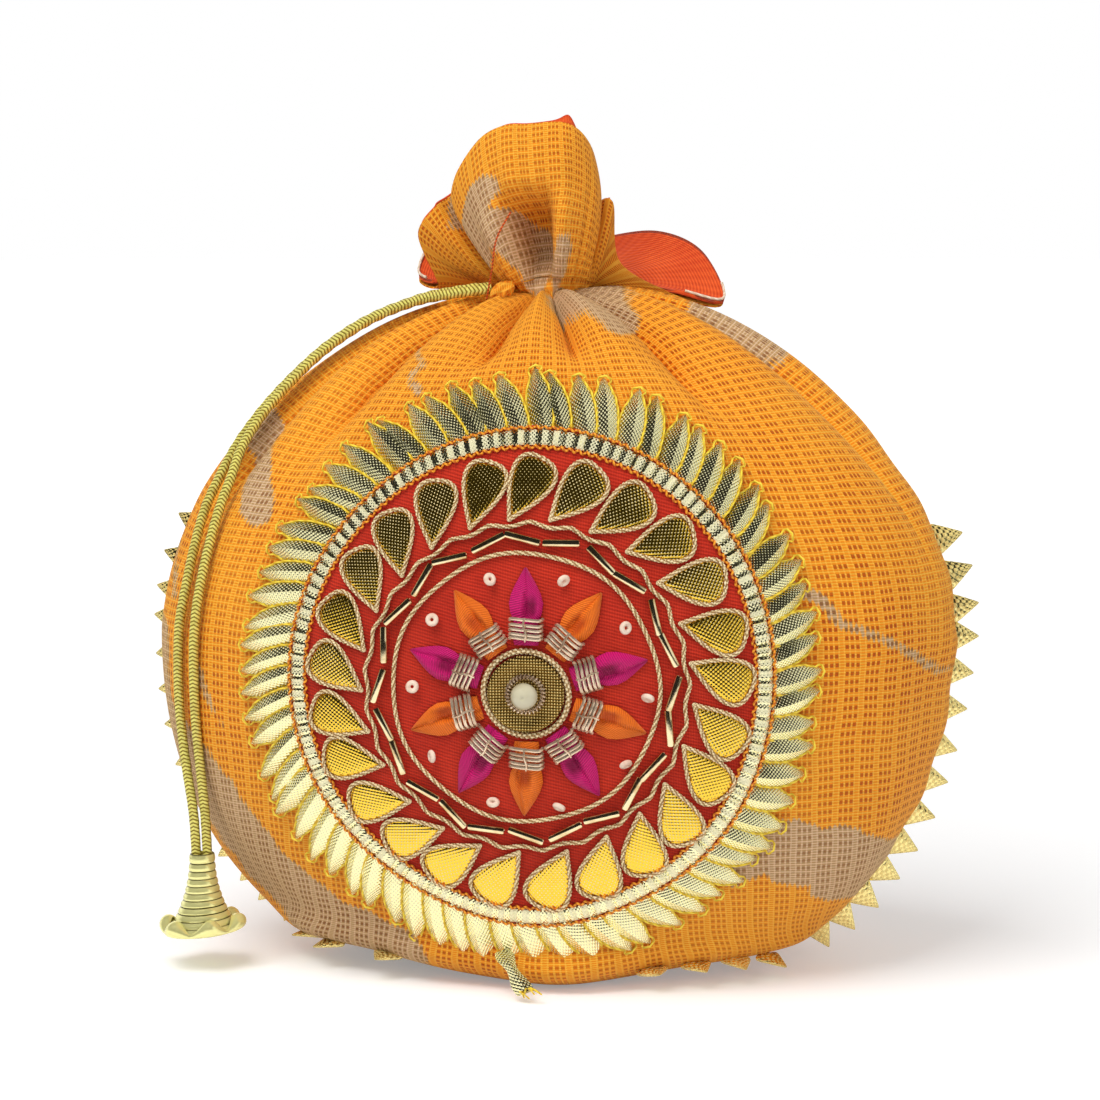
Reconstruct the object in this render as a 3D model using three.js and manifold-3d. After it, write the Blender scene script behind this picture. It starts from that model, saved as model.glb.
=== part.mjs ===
// A potli: a gathered drawstring pouch with an embroidered medallion, a cord and a bell cap.
// Lengths are in millimetres. +Z is up, the medallion faces -Y and the base rests on z = 0.

import * as THREE from 'three';
import { mergeVertices } from 'three/addons/utils/BufferGeometryUtils.js';
import loadManifold from 'manifold-3d';

const kernel = await loadManifold();
kernel.setup();

// Fit
const clearance = 0.3;
const discThickness = 1;

// Medallion, from the pearl outwards
const pearlRadius = 3.1;
const coilWire = 1.3;
const centreRim = 4.3;
const centreThickness = 0.9;
const zariCord = 1.5;
const petalLength = 18;
const petalCount = 10;
const petalMargin = 0.4;
const beadStrip = 4.6;
const bugleCount = 24;
const bugleWidth = 1.4;
const seedRadius = 1.6;
const vineScallop = 0.6;
const leafReach = 13.2;
const leafCount = 25;
const leafSlant = 33;
const bandWidth = 4.5;
const gotaReach = 12.7;
const gotaCount = 70;

// How far hand sewing moved the layers, right and up, from the middle of the lace ring
const discShift = [2.2, -2.4];
const vineShift = [2.4, -3.6];
const heartShift = [3, -4.6];

// Pouch and frill
const floorGap = 7;
const shoulderRise = 15.5;
const wrapShare = 0.046;
const sideMargin = 25.4;
const pouchDepth = 106;
const baseWidth = 88;
const baseDepth = 54;
const neckRadius = 9.5;
const gatherCount = 12;
const gatherDepth = 2.6;
const neckFold = 0.6;
const frillFront = 41;
const frillBack = 15;
const frillSpread = 27;
const frillLobes = 6;
const frillWaist = 0.12;
const frillCloth = 1.6;
const liningCloth = 0.9;
const liningLip = 1;

// Seam trim, drawstring and bell cap
const coneCount = 14;
const coneReach = 7.2;
const coneThickness = 2.4;
const cordDiameter = 2.4;
const bellHeight = 20;
const bellRadius = 11.4;
const bellTop = 3.2;
const bellWall = 0.8;
const bellScallops = 6;

const bellX = -83.2;
const bellY = -25;
const bellBase = 7.2;

// Routes of the two ends of the drawstring, from the neck over the left shoulder to the bell cap
const outerRoute = [
  [-14.2, -7.2, 170.6], [-20.2, -8, 170.4], [-29.7, -5.1, 168.9], [-37.2, -4, 166.5],
  [-44.5, -4.4, 163.5], [-51.5, -5.8, 159.6], [-58.5, -6.6, 154.7], [-65.1, -8.8, 148.6],
  [-70.5, -10.4, 142.6], [-74.4, -12.4, 137.1], [-78.1, -14.4, 130.7], [-81.1, -17.4, 123.1],
  [-83.9, -19.9, 114.6], [-85.5, -23.1, 104.9], [-86.8, -25.2, 95.3], [-88.2, -25.6, 86.5],
  [-88.7, -25.3, 76.5], [-88.4, -25.2, 64], [-87.1, -25, 51], [-85.3, -25, 38], [-84.6, -25, 27.6],
];
const innerRoute = [
  [-13, -10.4, 170.2], [-20.6, -11, 169.8], [-30.4, -8, 168.3], [-37.2, -7, 166.2],
  [-44.1, -7.3, 163.3], [-51, -8.6, 159.3], [-57.8, -9.4, 154.5], [-64.1, -11.5, 148.6],
  [-69.4, -13.1, 142.5], [-73, -15, 137.1], [-76, -18, 130.6], [-77.3, -22, 123.7],
  [-79.3, -24.9, 115.2], [-80.9, -27.6, 105.5], [-82.3, -29.4, 95.8], [-83.2, -30.3, 87],
  [-83.6, -29.8, 77.2], [-83.7, -28.4, 64], [-83.1, -26.6, 51], [-82.3, -25.2, 38], [-81.8, -25, 27.6],
];

// Radii that follow from the stack of the medallion
const apart = (one, other) => Math.hypot(one[0] - other[0], one[1] - other[1]);
const coilRadius = pearlRadius + clearance + coilWire / 2;
const centreRadius = coilRadius + coilWire / 2 + centreRim;
const centreCordRadius = centreRadius + clearance + zariCord / 2;
const petalRoot = centreCordRadius + zariCord / 2 + 2 * clearance;
const petalTip = petalRoot + petalLength;
const innerCordRadius = petalTip + apart(heartShift, vineShift) + petalMargin + zariCord / 2;
const bugleRadius = innerCordRadius + zariCord / 2 + clearance + beadStrip / 2;
const vineRadius = bugleRadius + beadStrip / 2 + clearance + zariCord / 2;
const leafInner = vineRadius + vineScallop + zariCord / 2 + clearance;
const leafOuter = leafInner + leafReach;
const bandInner = leafOuter + apart(vineShift, discShift) + clearance;
const bandOuter = bandInner + bandWidth;
const discRadius = bandOuter + 2 * clearance;
const gotaInner = discRadius + clearance;
const medallionRadius = gotaInner + gotaReach;

// Heights above the cloth under the medallion
const discTop = clearance + discThickness;
const layer = discTop + clearance;

// Pouch sizes that follow from the medallion
const medallionHeight = floorGap + medallionRadius;
const neckHeight = medallionHeight + medallionRadius + shoulderRise;
const widestHeight = 0.485 * neckHeight;
const pouchHalfWidth = medallionRadius + sideMargin;
const widthFall = 1.65;
const depthFall = 2;

const turn = 2 * Math.PI;
const radians = THREE.MathUtils.degToRad;
const blend = THREE.MathUtils.smoothstep;

const finish = (color, roughness, metalness) =>
  new THREE.MeshStandardMaterial({ color, roughness, metalness });
const saffronCloth = finish(0xe8931e, 0.85, 0);
const redCloth = finish(0xa8261c, 0.85, 0);
const gold = finish(0xd8c27a, 0.35, 0.8);
const tissue = finish(0xb9973f, 0.4, 0.8);
const zari = finish(0xb99a68, 0.5, 0.6);
const magentaRibbon = finish(0xc0146e, 0.6, 0);
const orangeRibbon = finish(0xee6f22, 0.6, 0);
const pearlFinish = finish(0xe4dfc4, 0.25, 0);
const lurex = finish(0xc4ad44, 0.4, 0.7);

const bag = new THREE.Group();
bag.name = 'potli_bag';

/** Adds one named piece to the bag. */
function add(name, geometry, material) {
  const mesh = new THREE.Mesh(geometry, material);
  mesh.name = name;
  bag.add(mesh);
}

/** Moves each corner of a geometry to where place(x, y, z) puts it. */
function warp(geometry, place) {
  const corners = geometry.getAttribute('position');
  for (let index = 0; index < corners.count; index += 1) {
    const moved = place(corners.getX(index), corners.getY(index), corners.getZ(index));
    corners.setXYZ(index, moved.x, moved.y, moved.z);
  }
  geometry.computeVertexNormals();
  return geometry;
}

/** Turns a geometry into a solid for joining. */
function solidOf(geometry) {
  const bare = new THREE.BufferGeometry();
  bare.setAttribute('position', geometry.getAttribute('position').clone());
  bare.setIndex(geometry.getIndex());
  const merged = mergeVertices(bare, 1e-4);
  const index = merged.getIndex().array;
  const corners = [];
  for (let start = 0; start < index.length; start += 3) {
    const [a, b, c] = index.slice(start, start + 3);
    if (a !== b && b !== c && c !== a) corners.push(a, b, c);
  }
  const mesh = new kernel.Mesh({
    numProp: 3,
    vertProperties: new Float32Array(merged.getAttribute('position').array),
    triVerts: new Uint32Array(corners),
  });
  return new kernel.Manifold(mesh);
}

/** Turns a joined solid back into a geometry. */
function geometryOf(solid) {
  const mesh = solid.getMesh();
  const geometry = new THREE.BufferGeometry();
  geometry.setAttribute('position', new THREE.BufferAttribute(mesh.vertProperties, 3));
  geometry.setIndex(new THREE.BufferAttribute(mesh.triVerts, 1));
  geometry.computeVertexNormals();
  return geometry;
}

/** Half-size of the pouch at a height: quarter ellipse below, a flatter curve to the neck above. */
function profile(z, atBase, widest, fall) {
  if (z <= widestHeight) {
    const below = Math.min(1, 1 - z / widestHeight);
    return atBase + (widest - atBase) * Math.sqrt(1 - below * below);
  }
  const above = Math.min(1, (z - widestHeight) / (neckHeight - widestHeight));
  return neckRadius + (widest - neckRadius) * Math.sqrt(1 - above ** fall);
}

const widthAt = (z) => profile(z, baseWidth / 2, pouchHalfWidth, widthFall);
const depthAt = (z) => profile(z, baseDepth / 2, pouchDepth / 2, depthFall);

/** Height of a latitude from -1 at the base edge, by 0 at the widest, to 1 at the neck. */
function latitudeHeight(latitude) {
  const rise = Math.sin(Math.abs(latitude) * Math.PI / 2);
  if (latitude < 0) return widestHeight * (1 - rise);
  return widestHeight + (neckHeight - widestHeight) * rise ** (2 / widthFall);
}

/** Point of the smooth pouch at an angle from the front and a latitude. */
function pouchPoint(angle, latitude) {
  const z = latitudeHeight(latitude);
  return new THREE.Vector3(widthAt(z) * Math.sin(angle), -depthAt(z) * Math.cos(angle), z);
}

/** Outward normal of a surface given by point(angle, along), by small steps. */
function normalOf(point, angle, along) {
  const step = 1e-3;
  const around = point(angle + step, along).sub(point(angle - step, along));
  const upward = point(angle, along + step).sub(point(angle, along - step));
  return around.cross(upward).normalize();
}

/** Pouch with gather folds that run out from the neck and end at the medallion and the waist. */
function gatheredPoint(angle, latitude) {
  const point = pouchPoint(angle, latitude);
  const inward = Math.min(latitude, 0.995);
  const outward = normalOf(pouchPoint, angle, inward);
  const rise = blend(latitude, 0.2, 0.7) * (1 - 0.75 * blend(latitude, 0.82, 1));
  const above = Math.hypot(point.x, point.z - medallionHeight) - medallionRadius;
  const clear = point.y < 0 ? blend(above, 0, 0.7 * shoulderRise) : 1;
  const fold = Math.cos(gatherCount * angle) - 0.3 * Math.cos(2 * gatherCount * angle);
  return point.addScaledVector(outward, gatherDepth * rise * clear * fold);
}

/** Outside of the frill: tall in front, low and wide behind, with lobes that grow to the rim. */
function frillPoint(angle, along) {
  const front = blend(Math.cos(angle), -0.5, 0.8);
  const side = Math.abs(Math.sin(angle));
  const flare = (Math.max(0, along - frillWaist) / (1 - frillWaist)) ** 1.4;
  const lobe = Math.cos(frillLobes * angle) * along * (1 - front);
  const reach = neckRadius + frillSpread * flare * (1 - 0.66 * front) * (1 + 0.16 * lobe);
  const lift = frillBack + (frillFront - frillBack) * front;
  const droop = 0.55 * frillBack * (1 - front) * side * blend(along, 0.45, 1);
  const rise = Math.sin(Math.min(1, along) * Math.PI / 2);
  const z = neckHeight + lift * rise - droop + 0.12 * frillBack * lobe;
  return new THREE.Vector3(reach * Math.sin(angle), -reach * Math.cos(angle), z);
}

/** Outside of the frill with the gathers that die away above the neck. */
function gatheredFrill(angle, along) {
  const point = frillPoint(angle, along);
  const fold = neckFold * Math.cos(gatherCount * angle) * (1 - along) ** 2;
  return point.add(new THREE.Vector3(fold * Math.sin(angle), -fold * Math.cos(angle), 0));
}

/** Frill surface moved inwards by an amount of cloth. */
function frillInside(angle, along, cloth) {
  const outward = normalOf(frillPoint, angle, Math.max(along, 0.05));
  return frillPoint(angle, along).addScaledVector(outward, -cloth);
}

/** A closed skin: rings of corners from the first end point to the last, by place(angle, row). */
function skin(rows, columns, place) {
  const line = Array.from({ length: rows + 1 }, (_, row) =>
    new THREE.Vector2(row === 0 || row === rows ? 0 : 1, row));
  const lathe = new THREE.LatheGeometry(line, columns);
  return warp(lathe, (x, y, z) => place(Math.atan2(x, z), Math.round(y)));
}

const onAxis = (z) => new THREE.Vector3(0, 0, z);

/** The pouch and its frill are one drawn-up cloth, so they are one closed body. */
function makePouch() {
  const latitudes = [-1, -0.82, -0.6, -0.36, -0.12, 0.12, 0.3, 0.44, 0.56, 0.67, 0.77, 0.87, 0.95, 1];
  const outside = [0.14, 0.34, 0.56, 0.8, 1];
  const inside = [1, 0.72, 0.42, 0.16];
  const rings = [
    ...latitudes.map((latitude) => (angle) => gatheredPoint(angle, latitude)),
    ...outside.map((along) => (angle) => gatheredFrill(angle, along)),
    ...inside.map((along) => (angle) => frillInside(angle, along, frillCloth)),
  ];
  const rows = rings.length + 1;
  return skin(rows, 5 * gatherCount, (angle, row) => {
    if (row === 0) return onAxis(0);
    if (row === rows) return onAxis(neckHeight);
    return rings[row - 1](angle);
  });
}

/** The red lining: a thin cup inside the frill that stands a little proud of the rim. */
function makeLining() {
  const outer = frillCloth + clearance;
  const inner = outer + liningCloth;
  const outside = [0.42, 0.72, 1];
  const inside = [0.72, 0.42];
  const lip = new THREE.Vector3(0, 0, liningLip);
  const rings = [
    ...outside.map((along) => (angle) => frillInside(angle, along, outer)),
    (angle) => frillInside(angle, 1, outer).add(lip),
    (angle) => frillInside(angle, 1, inner).add(lip),
    ...inside.map((along) => (angle) => frillInside(angle, along, inner)),
  ];
  const rows = rings.length + 1;
  const floor = neckHeight + frillBack * 0.35;
  return skin(rows, 5 * gatherCount, (angle, row) => {
    if (row === 0) return onAxis(floor);
    if (row === rows) return onAxis(floor + liningCloth);
    return rings[row - 1](angle);
  });
}

/** Lays a flat piece (right, up, thick) of the medallion on the curved front of the pouch. */
function drape(geometry) {
  const surface = (x, z) => -depthAt(z) * Math.sqrt(Math.max(0, 1 - (x / widthAt(z)) ** 2));
  const step = 0.01;
  return warp(geometry, (right, up, thick) => {
    const x = right * (1 - wrapShare * (right / medallionRadius) ** 2);
    const z = medallionHeight + up;
    const slopeX = (surface(x + step, z) - surface(x - step, z)) / (2 * step);
    const slopeZ = (surface(x, z + step) - surface(x, z - step)) / (2 * step);
    const outward = new THREE.Vector3(slopeX, -1, slopeZ).normalize();
    return new THREE.Vector3(x, surface(x, z), z).addScaledVector(outward, thick);
  });
}

/** Lays a flat piece on the pouch after moving it right and up with its layer. */
function drapeAt(geometry, [right, up]) {
  return drape(geometry.translate(right, up, 0));
}

/** A flat ring or disc turned from an outline of [radius, height] pairs. */
function turned(outline, columns) {
  const line = outline.map(([radius, height]) => new THREE.Vector2(radius, height));
  return new THREE.LatheGeometry(line, columns).rotateX(Math.PI / 2);
}

/** A flat cord ring lying on the medallion. */
function cordRing(radius, thickness, sides, steps) {
  return new THREE.TorusGeometry(radius, thickness / 2, sides, steps).translate(0, 0, layer + thickness / 2);
}

/** Red disc with its beads sewn on, joined to it as one body. */
function makeDisc() {
  const underside = [0, 0.2, 0.4, 0.6, 0.8, 1].map((share) => [share * discRadius, clearance]);
  const top = [1, 0.75, 0.5, 0.25, 0].map((share) => [share * discRadius, discTop]);
  let disc = solidOf(drapeAt(turned([...underside, ...top], 32), discShift));
  const sunk = 0.7 * discThickness;
  const beadLength = 0.86 * turn * bugleRadius / bugleCount;
  const lean = Math.asin(Math.min(0.9, (beadStrip - 2 * bugleWidth) / beadLength));
  for (let bead = 0; bead < bugleCount; bead += 1) {
    const bugle = new THREE.BoxGeometry(beadLength, bugleWidth, bugleWidth + sunk);
    bugle.rotateZ(bead % 2 ? lean : -lean);
    bugle.translate(0, bugleRadius, discTop + (bugleWidth - sunk) / 2);
    bugle.rotateZ(turn * bead / bugleCount);
    disc = disc.add(solidOf(drapeAt(bugle, vineShift)));
  }
  for (let bead = 0; bead < petalCount; bead += 1) {
    const seed = new THREE.CylinderGeometry(0.7 * seedRadius, seedRadius, 1.4 * seedRadius + sunk, 5);
    seed.rotateX(Math.PI / 2);
    seed.translate(0, petalTip - seedRadius, discTop + 0.7 * seedRadius - sunk / 2);
    seed.rotateZ(turn * (bead + 0.5) / petalCount);
    disc = disc.add(solidOf(drapeAt(seed, heartShift)));
  }
  return geometryOf(disc);
}

/** Folded lace leaves round the disc, in one ring: pointed, leaning and creased along the middle. */
function makeGotaRing() {
  const columns = 2 * gotaCount;
  const crease = 0.45;
  const low = 2.5 * clearance;
  const outline = [[gotaInner, low], [medallionRadius, low], [gotaInner + crease * gotaReach, low + 1]];
  const ring = turned([...outline, outline[0]], columns);
  return drape(warp(ring, (x, y, z) => {
    const radius = Math.hypot(x, y);
    const angle = Math.atan2(x, -y);
    const along = (radius - gotaInner) / gotaReach;
    const tip = Math.round(angle / turn * columns) % 2 !== 0;
    const reach = gotaInner + gotaReach * along * (tip || along < 0.4 ? 1 : 0.5);
    const leaned = angle - 0.5 * gotaReach * along / medallionRadius;
    const height = along > 0.4 && along < 0.6 ? low + (tip ? 1.8 : 0.9) : z;
    const settled = tip || along < 0.4 || along > 0.6 ? reach : gotaInner + 0.25 * gotaReach;
    const right = settled * Math.sin(leaned) + (1 - along) * discShift[0];
    const up = -settled * Math.cos(leaned) + (1 - along) * discShift[1];
    return new THREE.Vector3(right, up, height);
  }));
}

/** Ribbed gold band between the lace and the leaves. */
function makeBand() {
  const low = layer;
  const edge = layer + 0.9;
  const bevel = 0.2 * bandWidth;
  const outline = [[bandInner, low], [bandOuter, low], [bandOuter - bevel, edge], [bandInner + bevel, edge]];
  return drapeAt(turned([...outline, outline[0]], 2 * leafCount), discShift);
}

/** Scalloped cord that links the tips of the leaves. */
function makeVine() {
  const ring = cordRing(vineRadius, zariCord, 4, 3 * leafCount);
  warp(ring, (x, y, z) => {
    const wave = Math.abs(Math.sin(Math.atan2(y, x) * leafCount / 2));
    const scale = 1 + vineScallop * wave / vineRadius;
    return new THREE.Vector3(x * scale, y * scale, z);
  });
  return drapeAt(ring, vineShift);
}

/** One padded leaf: a drop with its point inwards, leaning to one side, at its own turn. */
function makeLeaf(place) {
  const slant = radians(leafSlant);
  const middle = (leafInner + leafOuter) / 2;
  const width = 0.98 * Math.cos(slant) * turn * middle / leafCount;
  const length = 0.92 * leafReach / Math.cos(slant);
  const outline = [[0, layer], [1, layer], [0.84, layer + 1.1], [0, layer + 1.5]];
  const pad = turned(outline, 10);
  warp(pad, (x, y, z) => new THREE.Vector3(width / 2 * x * (0.8 + 0.4 * y), length / 2 * y, z));
  pad.rotateZ(-slant);
  pad.translate(0, middle, 0);
  return drapeAt(pad.rotateZ(place), vineShift);
}

/** One folded ribbon petal with the wire wound round its foot. */
function makePetal(place) {
  const stations = [
    [0, 0.5, 0.8], [0.12, 0.86, 2], [0.2, 0.86, 1.5], [0.28, 0.86, 2], [0.32, 0.5, 1],
    [0.58, 0.82, 2], [0.8, 0.6, 1.4], [1, 0.04, 0.7],
  ];
  const pitch = turn * (petalRoot + 0.2 * petalLength) / petalCount;
  const strip = new THREE.BoxGeometry(1, 1, 1, 2, stations.length - 1, 1);
  warp(strip, (x, y, z) => {
    const [along, width, height] = stations[Math.round((y + 0.5) * (stations.length - 1))];
    const crest = z > 0 ? height * (x === 0 ? 1 : 0.6) : 0;
    return new THREE.Vector3(x * width * pitch, petalRoot + along * petalLength, layer + crest);
  });
  return drapeAt(strip.rotateZ(place), heartShift);
}

/** Zigzag of woven cones along one side seam. */
function makeSeamTrim(side) {
  const steps = 2 * coneCount;
  const behind = radians(8);
  const strip = new THREE.BoxGeometry(1, 1, 1, steps, 1, 1);
  return warp(strip, (x, y, z) => {
    const step = Math.round((x + 0.5) * steps);
    const latitude = THREE.MathUtils.lerp(0.27, -0.76, step / steps);
    const angle = side * (Math.PI / 2 + behind);
    const outward = normalOf(pouchPoint, angle, latitude);
    const ahead = pouchPoint(angle, latitude - 1e-3);
    const along = ahead.sub(pouchPoint(angle, latitude + 1e-3)).normalize();
    const across = along.clone().cross(outward);
    const reach = y < 0 ? 2 * clearance : step % 2 ? coneReach : 0.22 * coneReach;
    const half = y < 0 ? coneThickness / 2 : coneThickness / 5;
    const point = pouchPoint(angle, latitude).addScaledVector(outward, reach);
    point.addScaledVector(across, 2 * half * z);
    point.z = Math.max(point.z, 2 * clearance + half * z);
    return point;
  });
}

/** A cord of round section along a list of points. */
function makeCord(points, steps) {
  const section = new THREE.Shape();
  const sides = 8;
  for (let side = 0; side < sides; side += 1) {
    const angle = turn * side / sides;
    const corner = [cordDiameter / 2 * Math.cos(angle), cordDiameter / 2 * Math.sin(angle)];
    if (side === 0) section.moveTo(...corner);
    else section.lineTo(...corner);
  }
  const path = new THREE.CatmullRomCurve3(points.map((point) => new THREE.Vector3(...point)));
  return new THREE.ExtrudeGeometry(section, { steps, extrudePath: path, bevelEnabled: false });
}

/** Hollow trumpet cap with a scalloped, curled rim. */
function makeBell() {
  const flare = (share) => bellTop + (bellRadius - bellTop) * share ** 2.4;
  const station = (share, wall) => [flare(share) - wall, bellHeight * (1 - share)];
  const outer = [0.93, 0.8, 0.62, 0.4, 0.12].map((share) => station(share, 0));
  const inner = [0.2, 0.55, 0.8, 0.97].map((share) => station(share, bellWall));
  const outline = [
    [0, bellHeight * 0.86], ...inner, [bellRadius - bellWall, 0], [bellRadius, 0.8], ...outer,
    [bellTop, bellHeight], [0, bellHeight],
  ];
  const line = outline.map(([radius, height]) => new THREE.Vector2(radius, height));
  const lathe = new THREE.LatheGeometry(line, 3 * bellScallops);
  return warp(lathe, (x, y, z) => {
    const low = Math.max(0, 1 - y / (0.3 * bellHeight));
    const wave = 1 - 0.08 * low * (1 - Math.cos(bellScallops * Math.atan2(x, z)));
    return new THREE.Vector3(x * wave, -z * wave, y);
  });
}

add('pouch', makePouch(), saffronCloth);
add('lining', makeLining(), redCloth);
add('medallion_disc', makeDisc(), redCloth);
add('gota_ring', makeGotaRing(), gold);
add('gota_band', makeBand(), gold);
add('vine_cord', makeVine(), zari);
add('inner_cord', drapeAt(cordRing(innerCordRadius, zariCord, 4, 36), vineShift), zari);
for (let leaf = 0; leaf < leafCount; leaf += 1) {
  add(`leaf_${leaf + 1}`, makeLeaf(turn * leaf / leafCount), tissue);
}
for (let petal = 0; petal < petalCount; petal += 1) {
  const ribbon = petal % 2 ? orangeRibbon : magentaRibbon;
  add(`petal_${petal + 1}`, makePetal(turn * petal / petalCount), ribbon);
}
const centreTop = layer + centreThickness;
const centreOutline = [[0, layer], [centreRadius, layer], [centreRadius, centreTop], [0, centreTop]];
add('centre_disc', drapeAt(turned(centreOutline, 24), heartShift), tissue);
add('centre_cord', drapeAt(cordRing(centreCordRadius, zariCord, 4, 20), heartShift), zari);
const centreLift = centreThickness + clearance;
const coil = cordRing(coilRadius, coilWire, 4, 14).translate(0, 0, centreLift);
add('pearl_coil', drapeAt(coil, heartShift), zari);
const pearl = new THREE.SphereGeometry(pearlRadius, 10, 7);
pearl.translate(0, 0, layer + centreLift + pearlRadius);
add('pearl', drapeAt(pearl, heartShift), pearlFinish);
add('seam_trim_right', makeSeamTrim(1), tissue);
add('seam_trim_left', makeSeamTrim(-1), tissue);
const loopRadius = neckRadius + neckFold + clearance + cordDiameter / 2;
const loopHeight = neckHeight + gatherDepth / 4 + 2 * clearance + cordDiameter / 2;
const loop = new THREE.TorusGeometry(loopRadius, cordDiameter / 2, 5, 20).translate(0, 0, loopHeight);
add('neck_loop', loop, lurex);
add('drawstring_outer', makeCord(outerRoute, 26), lurex);
add('drawstring_inner', makeCord(innerRoute, 26), lurex);
add('bell_cap', makeBell().translate(bellX, bellY, bellBase), gold);

export default bag;
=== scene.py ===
"""Dress the saffron potli bag: checked cloth, lace medallion, cone trim, drawstring and bell cap.

Lengths are in millimetres until a mesh is made. The row frame is in metres, with +Z up and the
medallion facing -Y. An angle round the pouch is 0 at the front and grows towards +X.
"""

import logging
import math
from abc import ABC, abstractmethod
from dataclasses import dataclass, field
from enum import Enum
from functools import partial
from typing import Callable, Optional, Sequence, Union

import bmesh
import bpy
import numpy as np
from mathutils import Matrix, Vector


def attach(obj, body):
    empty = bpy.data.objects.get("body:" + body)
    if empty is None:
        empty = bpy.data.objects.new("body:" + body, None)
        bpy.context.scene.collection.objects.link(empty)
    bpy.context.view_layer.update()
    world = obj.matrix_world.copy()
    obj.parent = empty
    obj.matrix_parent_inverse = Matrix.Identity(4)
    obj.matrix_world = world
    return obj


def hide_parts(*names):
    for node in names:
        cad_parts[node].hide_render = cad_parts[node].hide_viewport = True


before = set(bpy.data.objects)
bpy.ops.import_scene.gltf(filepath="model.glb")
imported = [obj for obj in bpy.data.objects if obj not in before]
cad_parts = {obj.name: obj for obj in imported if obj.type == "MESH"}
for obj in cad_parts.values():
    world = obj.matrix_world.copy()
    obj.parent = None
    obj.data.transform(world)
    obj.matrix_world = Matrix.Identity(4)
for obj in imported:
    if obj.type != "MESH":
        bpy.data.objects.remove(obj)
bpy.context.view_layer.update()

LOG = logging.getLogger("pouch")
MM = 0.001
TURN = 2 * math.pi
BODY = "root"
WHITE = (1.0, 1.0, 1.0, 1.0)
MERGE_DISTANCE = 2e-6
THIN_EDGE = 1e-7
UP = np.array([0.0, 0.0, 1.0])
BACK = np.array([0.0, 1.0, 0.0])
Array = np.ndarray
Colour = tuple[float, float, float, float]
Value = Union[float, Colour, bpy.types.NodeSocket]


class Slot(str, Enum):
    """Material slots of the record."""

    CLOTH = "saffron_cloth"
    LINING = "red_cloth"
    LACE = "gold_lace"
    TISSUE = "gold_tissue"
    ZARI = "zari_cord"
    MAGENTA = "magenta_ribbon"
    ORANGE = "orange_ribbon"
    PEARL = "pearl"
    LUREX = "lurex_cord"
    CAP = "gold_cap"


# Shared arithmetic


def round_angles(count: int) -> Array:
    """Even angles once round, from 0."""
    return TURN * np.arange(count) / count


def even_map(across: Array, along: Array) -> Array:
    """Map of one grid, from the values of its columns and of its rows."""
    return np.stack(np.meshgrid(across, along), axis=-1)[None]


def wrapped(uv: Array) -> Array:
    """Map of one grid whose first column comes again at its end."""
    return np.concatenate((uv, uv[:, :1]), axis=1)[None]


def ring_path(radius: Array, place: Array, lift: Array) -> Array:
    """Flat points (right, up, lift) at angles counter-clockwise from the top."""
    points = np.broadcast_arrays(-radius * np.sin(place), radius * np.cos(place), lift)
    return np.stack(points, axis=-1)


def srgb(red: int, green: int, blue: int) -> Colour:
    """Linear colour of a screen colour given in steps of 0 to 255.

    Args:
        red: red step.
        green: green step.
        blue: blue step.

    Returns:
        Linear red, green and blue, with full alpha.
    """
    level = np.array([red, green, blue]) / 255
    linear = np.where(level <= 0.04045, level / 12.92, ((level + 0.055) / 1.055) ** 2.4)
    return (*linear.tolist(), 1.0)


def smoothstep(value: Array, low: float, high: float) -> Array:
    """Cubic ease from 0 at low to 1 at high: 3t^2 - 2t^3 of the clamped share t.

    Args:
        value: values to ease.
        low: where the ease starts.
        high: where it ends.

    Returns:
        Shares from 0 to 1.
    """
    share = np.clip((value - low) / (high - low), 0.0, 1.0)
    return share * share * (3 - 2 * share)


def unit(vectors: Array) -> Array:
    """Vectors of length one along the last axis."""
    return vectors / np.maximum(np.linalg.norm(vectors, axis=-1, keepdims=True), 1e-12)


def bell(value: Array, middle: float, spread: float) -> Array:
    """Bell curve of height one: e to minus the squared distance from the middle in spreads."""
    return np.exp(-(((value - middle) / spread) ** 2))


def closed_curve(stations: Array, knots: Array, at: Array) -> Array:
    """Smooth closed curve through knots: a cubic between stations, sloped by the neighbours.

    Args:
        stations: rising angles of the knots, within one turn.
        knots: (count, dimensions) values at the stations.
        at: angles to read.

    Returns:
        Values at those angles.
    """
    x = np.concatenate((stations[-1:] - TURN, stations, stations[:2] + TURN))
    y = np.concatenate((knots[-1:], knots, knots[:2]))
    slope = np.zeros_like(y)
    slope[1:-1] = (y[2:] - y[:-2]) / (x[2:] - x[:-2])[:, None]
    at = (at - stations[0]) % TURN + stations[0]
    i = np.clip(np.searchsorted(x, at, side="right") - 1, 1, len(stations))
    span = (x[i + 1] - x[i])[..., None]
    t = (at - x[i])[..., None] / span
    start = (2 * t**3 - 3 * t**2 + 1) * y[i] + (t**3 - 2 * t**2 + t) * span * slope[i]
    return start + (3 * t**2 - 2 * t**3) * y[i + 1] + (t**3 - t**2) * span * slope[i + 1]


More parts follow.
